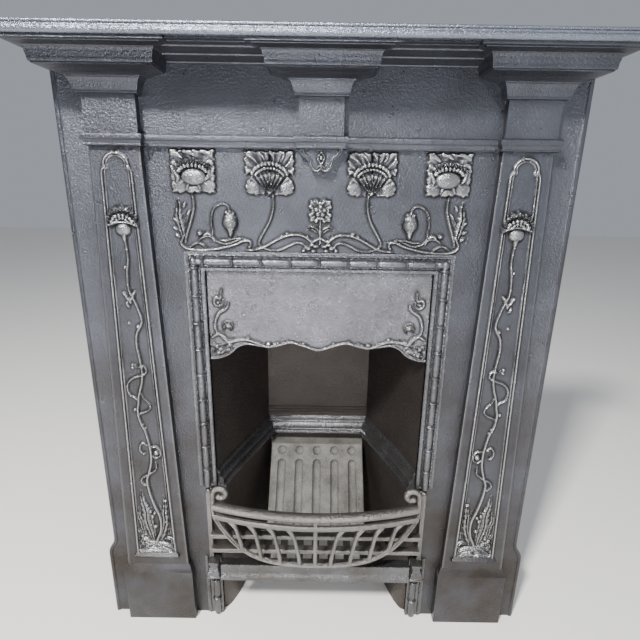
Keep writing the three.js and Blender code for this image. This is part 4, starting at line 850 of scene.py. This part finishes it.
def build_canopy(s):
    """The canopy plate: wavy below, with a twig-like lip, corner leaves and tendrils."""
    cells = s.relief_cells

    def place(u, v):
        x = -CANOPY_HALF + 2 * CANOPY_HALF * u
        low = wave_at(x)
        return x, low + (OPENING_TOP - FIT - low) * (0.62 * v + 0.38 * v ** 2)

    slab("canopy_plate", int(3.0 * cells), int(1.3 * cells), place, canopy_face, CANOPY_BACK, "canopy",
         "grained cast iron")


def plan_rings(rows):
    """Walls of the fireback from rows of plan, outer plan and height."""
    rings = []
    for inner, outer, z in rows:
        ring = inner + [(-x, y) for x, y in reversed(inner)] + [(-x, y) for x, y in outer]
        ring += list(reversed(outer))
        rings.append([at(x, -y - FIT, z) for x, y in ring])
    return rings


BACK_HALF, BACK_DEPTH, CHEEK_BOW = 134.0, 257.0, 9.0
LOWER_PLAN = [(247, 0), (224, 1.5), (213, 6), (207, 14), (199, 30), (192, 50), (184, 76), (171, 116), (157, 160),
              (143, 204), (128, 247)]
SHARES = [0, 0.015, 0.04, 0.08, 0.14, 0.24, 0.35, 0.5, 0.68, 0.84, 1]


def upper_plan(inset, bow):
    plan = []
    for t in SHARES:
        x = OPENING_HALF + (BACK_HALF - OPENING_HALF) * t + bow * 1.6 * math.sqrt(t) * (1 - t)
        plan.append((x - inset, t * (BACK_DEPTH - inset)))
    return plan


def shell_of(plan):
    return [(x + 7, y + 7 if n else 0) for n, (x, y) in enumerate(plan)]


def build_firebox(s):
    """The fireback: splayed cheeks, the moulded band round the fire and the chamber below it."""
    bm = bmesh.new()
    band = [(16, 0), (18, 2), (19, 5), (18.6, 8.5), (16, 10.5), (12.5, 12), (11, 14), (11.4, 16), (13, 19), (13, 23),
            (11.5, 27), (8.5, 30.5), (5.5, 32.5), (4, 35), (4, 38), (4.6, 40), (4.4, 43), (2.5, 46), (0.8, 48), (0, 50)]
    outer = shell_of(upper_plan(0, CHEEK_BOW))
    rows = [(LOWER_PLAN, shell_of(LOWER_PLAN), 0), (LOWER_PLAN, shell_of(LOWER_PLAN), 334)]
    rows += [(upper_plan(inset, CHEEK_BOW), outer, 347 + up) for inset, up in band]
    for t in (0.15, 0.35, 0.6, 1.0):
        bow = CHEEK_BOW * (1 - t)
        rows.append((upper_plan(0, bow), shell_of(upper_plan(0, bow)), 397 + 469 * t))
    loft(bm, plan_rings(rows))
    # Flange that seals the fireback to the front plate
    for sign in (-1, 1):
        for edge, z0, z1 in ((NOTCH_HALF, 0, 347), (OPENING_HALF, 347, 866)):
            x0, x1 = sorted((sign * edge, sign * 265))
            box(bm, x0, x1, -7.3, -FIT, z0, z1)
    box(bm, -265, 265, -7.3, -FIT, OPENING_TOP, 866)
    # Three fine beads across the back above the band
    for n in range(3):
        z = 404 + n * 8.5
        rows = [(0, -3.2), (1.6, -2.6), (2.6, -1), (2.6, 1), (1.6, 2.6), (0, 3.2)]
        wide = BACK_HALF + 2
        loft(bm, [[at(x, -BACK_DEPTH - FIT + out, z + up) for out, up in rows + [(-2, 3.2), (-2, -3.2)]]
                  for x in (-wide, wide)])
    # Ledges that carry the bottom grate
    for sign in (-1, 1):
        for x0, x1, y0, y1 in ((195, 184, 42, 76), (184, 166, 76, 118)):
            plan = [(x0 - 12, y0), (x0 + 3, y0), (x1 + 3, y1), (x1 - 12, y1)]
            loft(bm, [[at(sign * x, -y, z) for x, y in plan] for z in (134.7, 144.7)])
    obj = piece("fireback", bm, "firebox", "blackened fireback iron", 24)
    # The moulded band gets the brighter burnished iron: a painted highlight where the light falls on it
    obj.data.materials.append(bpy.data.materials["burnished cast iron with painted highlight"])
    for polygon in obj.data.polygons:
        z = polygon.center.z / MM
        inside = polygon.normal.x * polygon.center.x < 0 or polygon.normal.y < -0.3
        if inside and 347.5 < z < 396 and abs(polygon.normal.z) < 0.999:
            polygon.material_index = 1
    return obj


BRICK_TOP, BRICK_LENGTH, BRICK_THICK = 331.0, 216.0, 34.0
GRATE_TOP = 156.0
LEAN = math.acos((BRICK_TOP - GRATE_TOP) / BRICK_LENGTH)
BRICK_FOOT_Y = 247.0 - BRICK_THICK * math.cos(LEAN) - BRICK_LENGTH * math.sin(LEAN)


def build_brick(s):
    """The fluted fire brick that leans on the fireback: five flutes, each under a round dimple."""
    def place(u, v):
        along = BRICK_LENGTH * v
        half = (252 + (246 - 252) * v) / 2
        return half * (2 * u - 1), along

    def face(x, along):
        spread = 1 - 0.02 * along / BRICK_LENGTH
        depth = np.zeros_like(x)
        for n in range(5):
            centre = (n - 2) * 48.0 * spread
            dx = x - centre
            ends = np.maximum(along - 163, 0)
            r = np.hypot(dx, ends) / 10.8
            depth = np.maximum(depth, 10.0 * np.clip(1 - r ** 2, 0, 1) ** 0.5)
            r = np.hypot(dx, along - 197) / 11.5
            depth = np.maximum(depth, 8.0 * np.clip(1 - r ** 2, 0, 1) ** 0.5)
        rough = 0.45 * np.sin(x * 1.1 + 2 * np.sin(along * 0.53)) * np.sin(along * 0.9 + 1.7 * np.sin(x * 0.41))
        rough = rough + 0.35 * np.sin(x * 0.37 + along * 0.61) * np.sin(along * 0.31 - x * 0.53)
        half = (252 - 6 * along / BRICK_LENGTH) / 2
        rim = np.clip(np.minimum((half - np.abs(x)) / 3, (BRICK_LENGTH - along) / 3), 0, 1)
        return rough - 0.6 - depth - 2.5 * (1 - rim) ** 2, np.clip(0.5 - depth / 20, 0, 1)

    def shape(x, along, height):
        along = np.where(height < -BRICK_THICK + 0.01, np.maximum(along, BRICK_THICK * math.tan(LEAN)), along)
        behind = BRICK_FOOT_Y + along * math.sin(LEAN) - height * math.cos(LEAN)
        z = GRATE_TOP + FIT + along * math.cos(LEAN) + height * math.sin(LEAN)
        # The brick is cut level at its top
        top = (height < -BRICK_THICK + 0.01) & (along > BRICK_LENGTH - 1)
        return x, -behind, np.where(top, BRICK_TOP + FIT, np.maximum(z, GRATE_TOP + FIT))

    slab("fluted_brick", 190, 170, place, face, -BRICK_THICK, "fire_brick", "fired clay", 60, shape)

GRATE_FRONT, GRATE_THICK, GRATE_PITCH = 12.0, 11.0, 38.5


def chamber_half(y):
    return float(np.interp(y, [p[1] for p in LOWER_PLAN], [p[0] for p in LOWER_PLAN])) - 2.5


def build_grate(s):
    """The slotted bottom grate, its bars rounded on top."""
    bm = bmesh.new()
    slot_end, back = BRICK_FOOT_Y - 4.0, BRICK_FOOT_Y + 25.0
    box(bm, -206, 206, 1, GRATE_FRONT, GRATE_TOP - GRATE_THICK, GRATE_TOP)
    ring = [(chamber_half(y), y) for y in (slot_end, (slot_end + back) / 2, back)]
    ring += [(-x, y) for x, y in reversed(ring)]
    loft(bm, [[at(x, -y, z) for x, y in ring] for z in (GRATE_TOP - GRATE_THICK, GRATE_TOP)])
    for n in range(9):
        x = (n - 4) * GRATE_PITCH
        rings = [[at(x + a, -y, GRATE_TOP + u) for a, u in ((-9, -1.5), (-7.5, -0.3), (-4, 0), (4, 0), (7.5, -0.3),
                                                          (9, -1.5), (7, -GRATE_THICK), (-7, -GRATE_THICK))]
                 for y in (-2, slot_end + 1)]
        loft(bm, rings)
        # Rounded inner ends of the slots
        for side in (-1, 1):
            corner = [(x + side * 8, slot_end - 9), (x + side * 9, slot_end - 5), (x + side * 12, slot_end - 2),
                      (x + side * 17, slot_end + 1), (x + side * 8, slot_end + 1)]
            if abs(corner[3][0]) < chamber_half(slot_end):
                loft(bm, [[at(a, -b, z) for a, b in corner] for z in (GRATE_TOP - GRATE_THICK, GRATE_TOP - 0.2)])
    return piece("grate", bm, "bottom_grate", "rough basket iron", 30)


POST_AXIS, BOW_END, BOW_CENTRE = 229.0, 38.0, 73.0
SECOND_TOP, TOP_BAR_TOP = 306.0, 328.0
LEAF_LOW, LEAF_TIP, LEAF_POWER = 199.0, 300.0, 4.2
POST_SETOFF = 12.0


def bow_at(x):
    return BOW_CENTRE - (BOW_CENTRE - BOW_END) * (x / POST_AXIS) ** 2


def leaf_edge(x):
    return LEAF_LOW + (LEAF_TIP - LEAF_LOW) * abs(x / POST_AXIS) ** LEAF_POWER


def bowed(bm, steps, section, reach=POST_AXIS - 1):
    rings = []
    for n in range(steps + 1):
        x = -reach + 2 * reach * n / steps
        rings.append([at(x, bow_at(x) - back, z) for back, z in section(x)])
    loft(bm, rings)


def build_front_bars(s):
    """The bowed front bar: two rails, a leaf of curved ribs, posts with scrolled heads."""
    bm = bmesh.new()
    top = [(4, -13), (12, -12.6), (22, -10.5), (23, -6), (22.6, -2.4), (20, -0.4), (12, 0), (5, -0.6), (1.6, -2.6),
           (0.2, -5.6), (0.4, -9), (1.8, -11.8)]
    bowed(bm, 36, lambda x: [(back, TOP_BAR_TOP + up) for back, up in top])
    second = [(1.5, -12), (8, -12), (9, -11), (9, -1), (8, 0), (1.5, 0), (0.4, -1), (0, -3), (0, -9), (0.4, -11)]
    bowed(bm, 36, lambda x: [(back, SECOND_TOP + up) for back, up in second])

    def rim(x):
        wide = 6.8 * (1 + 1.9 * abs(x / POST_AXIS) ** 3)
        z = leaf_edge(x)
        web = 2.6 * min(1.0, max(0.0, (wide - 8) / 5))
        return [(1.4, z), (8, z + 0.5), (9, z + 1.6), (9, z + wide - 1.5), (8, z + wide), (web + 1.5, z + wide - 0.4),
                (web, z + wide - 1.4), (web, z + 6.6), (0.4, z + 5.8), (0, z + 4.6), (0, z + 1.4)]
    bowed(bm, 60, rim)
    # Ribs bend over at the head towards the posts and sweep in to the middle at the foot
    for n in range(-4, 5):
        sign = (n > 0) - (n < 0)
        head = sign * (4 + abs(n) * 43)
        foot = leaf_edge(head - 13 * sign) + 2
        steps = 16 if n else 3
        rings = []
        for k in range(steps + 1):
            t = k / steps
            x = head + sign * (13 * max(0, 1 - t / 0.3) ** 2 - 13 * t * t * (3 - 2 * t))
            z = SECOND_TOP - 10 + (foot - SECOND_TOP + 10) * t
            half = 3.2 + (1.2 if n == 0 else 3.4 * max(0, 1 - t / 0.22) + 1.2 * t)
            f = bow_at(x)
            rings.append([at(x - half, f - 1.6, z), at(x - half * 0.5, f + 0.2, z), at(x + half * 0.5, f + 0.2, z),
                          at(x + half, f - 1.6, z), at(x + half, f - 8, z), at(x - half, f - 8, z)])
        loft(bm, rings)
    box(bm, -3.2, 3.2, BOW_CENTRE - 9, BOW_CENTRE - 1, SECOND_TOP - 2, TOP_BAR_TOP - 11)
    for z in (240.0, 201.0):
        section = ((13, -4.4), (14, -5), (29, -5), (30, -4), (30, 4), (29, 5), (14, 5), (13, 4.4))
        loft(bm, [[at(x, f, z + u) for f, u in section] for x in (-POST_AXIS - 9, POST_AXIS + 9)])
    for sign in (-1, 1):
        x, outer = sign * POST_AXIS, sign * (POST_AXIS + POST_SETOFF)
        scroll_z, scroll_x = TOP_BAR_TOP + 25, sign * (POST_AXIS - 18)
        # Plain post beside the bars, and the lugs that hold them
        box(bm, outer - 4.5, outer + 4.5, 4, 16, CAP_TOP + FIT, scroll_z - 6)
        ball(bm, at(outer, 10, scroll_z - 5), 6, 6, 6)
        for z in (LEAF_TIP + 4, TOP_BAR_TOP + 8):
            box(bm, min(x - sign * 3, outer), max(x - sign * 3, outer), 11, 15, z - 4, z + 4)
        # Ribbon that carries the bars, rises and curls inwards
        count = 28
        line, radii = [(x, LEAF_TIP - 1), (x, TOP_BAR_TOP)], [5.4, 5.4]
        for k in range(count + 1):
            t = k / count
            a = -0.1 + t * 5.3
            r = 15.2 - 6.2 * t
            line.append((scroll_x + sign * (r + 2 * (1 - t) ** 2) * math.cos(a), scroll_z + r * math.sin(a)))
            radii.append(5.6 + 0.8 * math.sin(math.pi * t))
        tube(bm, [at(a, BOW_END - 11, b) for a, b in line], radii, 14, 1.0)
        ball(bm, at(line[-1][0], BOW_END - 11, line[-1][1]), 6.4, 7.4, 6.4)
    return piece("front_bar", bm, "front_bars", "rough basket iron", 38)


def build_rail(s):
    """The moulded rail that closes the ash pit."""
    bm = bmesh.new()
    rail = [(0.4, 0), (0, 0.03), (0, 0.1), (0.8, 0.2), (2, 0.3), (3.8, 0.38), (4.6, 0.44), (5, 0.5), (5, 0.94),
            (5.6, 0.985), (7, 1.0), (32, 0.9), (32, 0.7), (12, 0.78), (12, 0.1), (8, 0)]
    end = CAP_AXIS - 18 - FIT
    loft(bm, [[at(x, 44 - back, 132 + share * 38) for back, share in rail] for x in (-end, end)])
    return piece("rail", bm, "ash_rail", "burnished cast iron with painted highlight", 30)


# Materials
def linear(code):
    """A hex sRGB colour as linear red, green, blue and alpha."""
    out = []
    for n in (1, 3, 5):
        c = int(code[n:n + 2], 16) / 255
        out.append(c / 12.92 if c <= 0.04045 else ((c + 0.055) / 1.055) ** 2.4)
    return (*out, 1.0)


def add(tree, kind, **inputs):
    """Add a node and set its inputs: a value is typed in, a socket is linked."""
    node = tree.nodes.new(kind)
    for key, value in inputs.items():
        name = key.replace("_", " ")
        if not isinstance(value, bpy.types.NodeSocket) and name not in node.inputs:
            setattr(node, key, value)
        elif isinstance(value, bpy.types.NodeSocket):
            tree.links.new(value, node.inputs[name])
        else:
            node.inputs[name].default_value = value
    return node


def mix_colors(tree, factor, a, b):
    node = tree.nodes.new("ShaderNodeMix")
    node.data_type = "RGBA"
    for index, value in ((0, factor), (6, a), (7, b)):
        if isinstance(value, bpy.types.NodeSocket):
            tree.links.new(value, node.inputs[index])
        else:
            node.inputs[index].default_value = value
    return node.outputs[2]


def ramp(tree, source, low, high, out_low, out_high):
    node = add(tree, "ShaderNodeMapRange", Value=source)
    for name, value in (("From Min", low), ("From Max", high), ("To Min", out_low), ("To Max", out_high)):
        node.inputs[name].default_value = value
    return node.outputs["Result"]


def iron(name, base, bright, rough, spread, grain, depth, metal=0.85, soot=0.0):
    """Cast iron under graphite polish: sand grain, cloudy polish, high spots painted bright (rubbed wear and painted
    highlight), hollows painted dark (blacking and painted shade), and a painted reflection that is bluer towards the
    top and warmer, browner towards the floor.
    """
    material = bpy.data.materials.new(name)
    material.use_nodes = True
    tree = material.node_tree
    shader = tree.nodes["Principled BSDF"]
    where = add(tree, "ShaderNodeTexCoord").outputs["Object"]
    cloud = add(tree, "ShaderNodeTexNoise", Vector=where, Scale=9.0, Detail=4.0, Roughness=0.6).outputs["Fac"]
    smear = add(tree, "ShaderNodeTexNoise", Vector=where, Scale=38.0, Detail=5.0, Roughness=0.65).outputs["Fac"]
    sand = add(tree, "ShaderNodeTexNoise", Vector=where, Scale=1000.0 / grain, Detail=2.0, Roughness=0.55)
    pits = add(tree, "ShaderNodeTexVoronoi", Vector=where, Scale=1000.0 / (grain * 2.6)).outputs["Distance"]
    wear_and_highlight = add(tree, "ShaderNodeAttribute", attribute_name="wear_and_highlight").outputs["Fac"]
    low_down = add(tree, "ShaderNodeSeparateXYZ", Vector=where).outputs["Z"]
    # Painted reflection: bluer towards the top for the sky, warmer and browner towards the floor
    tint = mix_colors(tree, ramp(tree, low_down, 0.1, 0.95, 0.0, 1.0), linear(base[0]), linear(base[1]))
    patchy = mix_colors(tree, ramp(tree, cloud, 0.35, 0.68, 0.0, 0.55), tint, linear(base[2]))
    cavity = add(tree, "ShaderNodeAttribute", attribute_name="cavity").outputs["Fac"]
    # High spots and edges painted bright: partly rubbed wear, partly painted highlight
    color = mix_colors(tree, ramp(tree, wear_and_highlight, 0.0, 1.0, 0.0, 0.6), patchy, linear(bright))
    # Hollows beside raised work painted dark: partly blacking left there, partly painted shade
    color = mix_colors(tree, ramp(tree, cavity, 0.0, 1.0, 0.0, 0.7), color, linear("#141312"))
    tree.links.new(color, shader.inputs["Base Color"])
    shader.inputs["Metallic"].default_value = metal
    matt = ramp(tree, smear, 0.3, 0.7, rough - spread, rough + spread)
    rubbed = add(tree, "ShaderNodeMath", operation="MULTIPLY_ADD")
    tree.links.new(wear_and_highlight, rubbed.inputs[0])
    rubbed.inputs[1].default_value = -0.12
    tree.links.new(matt, rubbed.inputs[2])
    tree.links.new(rubbed.outputs[0], shader.inputs["Roughness"])
    rise = add(tree, "ShaderNodeMath", operation="ADD")
    tree.links.new(sand.outputs["Fac"], rise.inputs[0])
    half = add(tree, "ShaderNodeMath", operation="MULTIPLY")
    tree.links.new(pits, half.inputs[0])
    half.inputs[1].default_value = 0.5
    tree.links.new(half.outputs[0], rise.inputs[1])
    bump = add(tree, "ShaderNodeBump", Height=rise.outputs[0], Strength=1.0, Distance=depth * MM)
    tree.links.new(bump.outputs["Normal"], shader.inputs["Normal"])
    return material


def clay(name):
    """Fired clay, blackened: coarse grit and no shine."""
    material = bpy.data.materials.new(name)
    material.use_nodes = True
    tree = material.node_tree
    shader = tree.nodes["Principled BSDF"]
    where = add(tree, "ShaderNodeTexCoord").outputs["Object"]
    grit = add(tree, "ShaderNodeTexNoise", Vector=where, Scale=420.0, Detail=6.0, Roughness=0.7).outputs["Fac"]
    patch = add(tree, "ShaderNodeTexNoise", Vector=where, Scale=22.0, Detail=4.0, Roughness=0.6).outputs["Fac"]
    color = mix_colors(tree, ramp(tree, patch, 0.35, 0.65, 0.0, 1.0), linear("#454340"), linear("#6b6965"))
    color = mix_colors(tree, ramp(tree, grit, 0.45, 0.7, 0.0, 0.5), color, linear("#a09e98"))
    tree.links.new(color, shader.inputs["Base Color"])
    shader.inputs["Metallic"].default_value = 0.25
    shader.inputs["Roughness"].default_value = 0.62
    bump = add(tree, "ShaderNodeBump", Height=grit, Strength=1.0, Distance=2.4 * MM)
    tree.links.new(bump.outputs["Normal"], shader.inputs["Normal"])
    return material


def build_materials(s):
    r, g = s.roughness, s.grain / MM
    # Smooth plates of the front, with a fine sand-cast grain; painted reflection: blue-grey under the shelf, browner
    # low down
    iron("polished cast iron", ("#3d3833", "#48494f", "#5c5f67"), "#b6b6b6", r, 0.07, 1.9, g)
    # Beads and mouldings that the cloth reaches: smoother, and a brighter copy of the iron, partly rubbed wear and
    # partly painted highlight
    iron("burnished cast iron with painted highlight", ("#4f4c48", "#606166", "#7a7c82"), "#c6c6c4", r - 0.06, 0.06, 1.7, g * 0.8)
    # Canopy: the grain shows more; its lighter colour is a painted reflection
    iron("grained cast iron", ("#5b5956", "#65656b", "#8b8b93"), "#a5a4a2", r - 0.04, 0.08, 2.4, g * 2.2)
    # Shelf: smooth, it takes the blue of the light above it
    iron("shelf iron", ("#63656a", "#767a84", "#8d94a2"), "#b0b2b6", r - 0.06, 0.05, 1.6, g)
    # Fireback: matt, darkened by old fires
    iron("blackened fireback iron", ("#453f3c", "#494342", "#58534f"), "#8f8d8b", r + 0.08, 0.08, 2.4, g * 2.2)
    # Basket: coarse casting, blacked and dull
    iron("rough basket iron", ("#6f6c68", "#7b7876", "#908d8b"), "#b5b3b1", r + 0.02, 0.08, 2.6, g * 2.6)
    clay("fired clay")


# Stage: a pale floor, soft light from the upper left and the camera of the photograph
def build_stage(s):
    bm = bmesh.new()
    bmesh.ops.create_grid(bm, x_segments=1, y_segments=1, size=9.0)
    floor = bpy.data.meshes.new("floor")
    bm.to_mesh(floor)
    bm.free()
    plain = bpy.data.materials.new("pale floor")
    plain.use_nodes = True
    plain.node_tree.nodes["Principled BSDF"].inputs["Base Color"].default_value = linear(s.floor_color)
    plain.node_tree.nodes["Principled BSDF"].inputs["Roughness"].default_value = 0.9
    floor.materials.append(plain)
    ground = bpy.data.objects.new("floor", floor)
    bpy.context.scene.collection.objects.link(ground)

    world = bpy.data.worlds.new("studio")
    world.use_nodes = True
    bpy.context.scene.world = world
    back = world.node_tree.nodes["Background"]
    back.inputs["Color"].default_value = linear("#e6ecf6")
    back.inputs["Strength"].default_value = s.world_light

    target = at(0, 0, 620)
    for name, place, size, energy, tint in (
            ("key", (-1.05, -2.1, 3.0), 0.35, s.key_light, (1.0, 0.985, 0.96)),
            ("glow", (-0.2, -1.75, 0.5), 0.25, s.key_light * 0.055, (0.95, 0.97, 1.0)),
            ("fill", (2.2, -2.4, 1.6), 2.4, s.key_light * 0.1, (0.94, 0.97, 1.0))):
        data = bpy.data.lights.new(name, "AREA")
        data.size = size
        data.energy = energy
        data.color = tint
        lamp = bpy.data.objects.new(name, data)
        bpy.context.scene.collection.objects.link(lamp)
        lamp.matrix_world = (Matrix.Translation(place)
                             @ (target - Vector(place)).to_track_quat("-Z", "Y").to_matrix().to_4x4())

    data = bpy.data.cameras.new("photo view")
    data.sensor_width = 36.0
    data.lens = 36.0 * FOCAL_PIXELS / FRAME_PIXELS
    camera = bpy.data.objects.new("photo view", data)
    bpy.context.scene.collection.objects.link(camera)
    camera.matrix_world = (Matrix.Translation(at(2.5, 881.0, 1011.0))
                           @ Matrix.Rotation(math.radians(90.0 - 16.66), 4, "X")
                           @ Matrix.Rotation(math.radians(0.9), 4, "Z"))
    bpy.context.scene.camera = camera


# The add-on: sizes and colours a user may change, an operator for each group of castings, a panel
class FireplaceSettings(bpy.types.PropertyGroup):
    relief_cells: bpy.props.IntProperty(
        name="Relief cells", description="Grid cells for each 139 mm of carved casting", default=100, min=20, max=130)
    edge_radius: bpy.props.FloatProperty(
        name="Edge radius", description="Rounding of the sharp edges of a casting", default=0.9 * MM,
        min=0.1 * MM, max=2 * MM, unit="LENGTH", subtype="DISTANCE")
    grain: bpy.props.FloatProperty(
        name="Sand grain", description="Depth of the grain that the sand mould leaves", default=0.9 * MM,
        min=0.0, max=2 * MM, unit="LENGTH", subtype="DISTANCE")
    roughness: bpy.props.FloatProperty(
        name="Roughness", description="Roughness of the graphite polish on the front", default=0.33, min=0.1,
        max=1.0, subtype="FACTOR")
    floor_color: bpy.props.StringProperty(
        name="Floor", description="Colour of the studio floor as sRGB hex", default="#efede9")
    world_light: bpy.props.FloatProperty(
        name="Soft light", description="Strength of the light from all round", default=0.42, min=0.0, max=5.0)
    key_light: bpy.props.FloatProperty(
        name="Key light", description="Power of the lamp at the upper left", default=270.0, min=0.0, max=2000.0,
        unit="POWER")


class FIREPLACE_OT_materials(bpy.types.Operator):
    """Make the finishes: polished, burnished, grained and blackened iron, and fired clay"""
    bl_idname = "fireplace.materials"
    bl_label = "Finishes"

    def execute(self, context):
        build_materials(context.scene.fireplace)
        return {"FINISHED"}


class FIREPLACE_OT_plates(bpy.types.Operator):
    """Cast the flat panel and the flanges against the chimney breast"""
    bl_idname = "fireplace.plates"
    bl_label = "Front plates"

    def execute(self, context):
        build_plates(context.scene.fireplace)
        return {"FINISHED"}


class FIREPLACE_OT_frieze(bpy.types.Operator):
    """Cast the poppy frieze and the pendant below the middle block"""
    bl_idname = "fireplace.frieze"
    bl_label = "Frieze"

    def execute(self, context):
        build_frieze(context.scene.fireplace)
        return {"FINISHED"}


class FIREPLACE_OT_pilasters(bpy.types.Operator):
    """Cast the two pilasters with the vine, their sills and plinths"""
    bl_idname = "fireplace.pilasters"
    bl_label = "Pilasters"

    def execute(self, context):
        build_pilasters(context.scene.fireplace)
        return {"FINISHED"}


class FIREPLACE_OT_cornices(bpy.types.Operator):
    """Cast the corniced blocks and the runs between them"""
    bl_idname = "fireplace.cornices"
    bl_label = "Cornices"

    def execute(self, context):
        build_cornices(context.scene.fireplace)
        return {"FINISHED"}


class FIREPLACE_OT_opening_frame(bpy.types.Operator):
    """Cast the mitred border with its canes, caps and feathered edge"""
    bl_idname = "fireplace.opening_frame"
    bl_label = "Opening frame"

    def execute(self, context):
        build_frame(context.scene.fireplace)
        return {"FINISHED"}


class FIREPLACE_OT_shelf(bpy.types.Operator):
    """Cast the mantel shelf"""
    bl_idname = "fireplace.shelf"
    bl_label = "Mantel shelf"

    def execute(self, context):
        build_shelf(context.scene.fireplace)
        return {"FINISHED"}


class FIREPLACE_OT_canopy(bpy.types.Operator):
    """Cast the wavy canopy with its corner leaves"""
    bl_idname = "fireplace.canopy"
    bl_label = "Canopy"

    def execute(self, context):
        build_canopy(context.scene.fireplace)
        return {"FINISHED"}


class FIREPLACE_OT_firebox(bpy.types.Operator):
    """Cast the fireback with its cheeks and band"""
    bl_idname = "fireplace.firebox"
    bl_label = "Firebox"

    def execute(self, context):
        build_firebox(context.scene.fireplace)
        return {"FINISHED"}


class FIREPLACE_OT_fire_brick(bpy.types.Operator):
    """Mould the fluted fire brick"""
    bl_idname = "fireplace.fire_brick"
    bl_label = "Fire brick"

    def execute(self, context):
        build_brick(context.scene.fireplace)
        return {"FINISHED"}


class FIREPLACE_OT_grates(bpy.types.Operator):
    """Cast the bottom grate, the bowed front bar and the ash rail"""
    bl_idname = "fireplace.grates"
    bl_label = "Grates"

    def execute(self, context):
        build_grate(context.scene.fireplace)
        build_front_bars(context.scene.fireplace)
        build_rail(context.scene.fireplace)
        return {"FINISHED"}


class FIREPLACE_OT_stage(bpy.types.Operator):
    """Set up the floor, the light and the camera of the photograph"""
    bl_idname = "fireplace.stage"
    bl_label = "Stage"

    def execute(self, context):
        build_stage(context.scene.fireplace)
        return {"FINISHED"}


OPERATORS = (
    FIREPLACE_OT_materials,
    FIREPLACE_OT_plates,
    FIREPLACE_OT_frieze,
    FIREPLACE_OT_pilasters,
    FIREPLACE_OT_cornices,
    FIREPLACE_OT_opening_frame,
    FIREPLACE_OT_shelf,
    FIREPLACE_OT_canopy,
    FIREPLACE_OT_firebox,
    FIREPLACE_OT_fire_brick,
    FIREPLACE_OT_grates,
    FIREPLACE_OT_stage,
)


class FIREPLACE_PT_panel(bpy.types.Panel):
    """Settings of the fireplace and a button for each group of castings"""
    bl_idname = "FIREPLACE_PT_panel"
    bl_label = "Cast-iron fireplace"
    bl_space_type = "VIEW_3D"
    bl_region_type = "UI"
    bl_category = "Fireplace"

    def draw(self, context):
        column = self.layout.column()
        for name in FireplaceSettings.__annotations__:
            column.prop(context.scene.fireplace, name)
        for operator in OPERATORS:
            column.operator(operator.bl_idname)


CLASSES = (FireplaceSettings, *OPERATORS, FIREPLACE_PT_panel)


def register():
    for item in CLASSES:
        bpy.utils.register_class(item)
    bpy.types.Scene.fireplace = bpy.props.PointerProperty(type=FireplaceSettings)


def unregister():
    del bpy.types.Scene.fireplace
    for item in reversed(CLASSES):
        bpy.utils.unregister_class(item)


def main():
    register()
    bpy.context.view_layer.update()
    for operator in OPERATORS:
        getattr(bpy.ops.fireplace, operator.bl_idname.split(".")[1])()


if __name__ == "__main__":
    main()
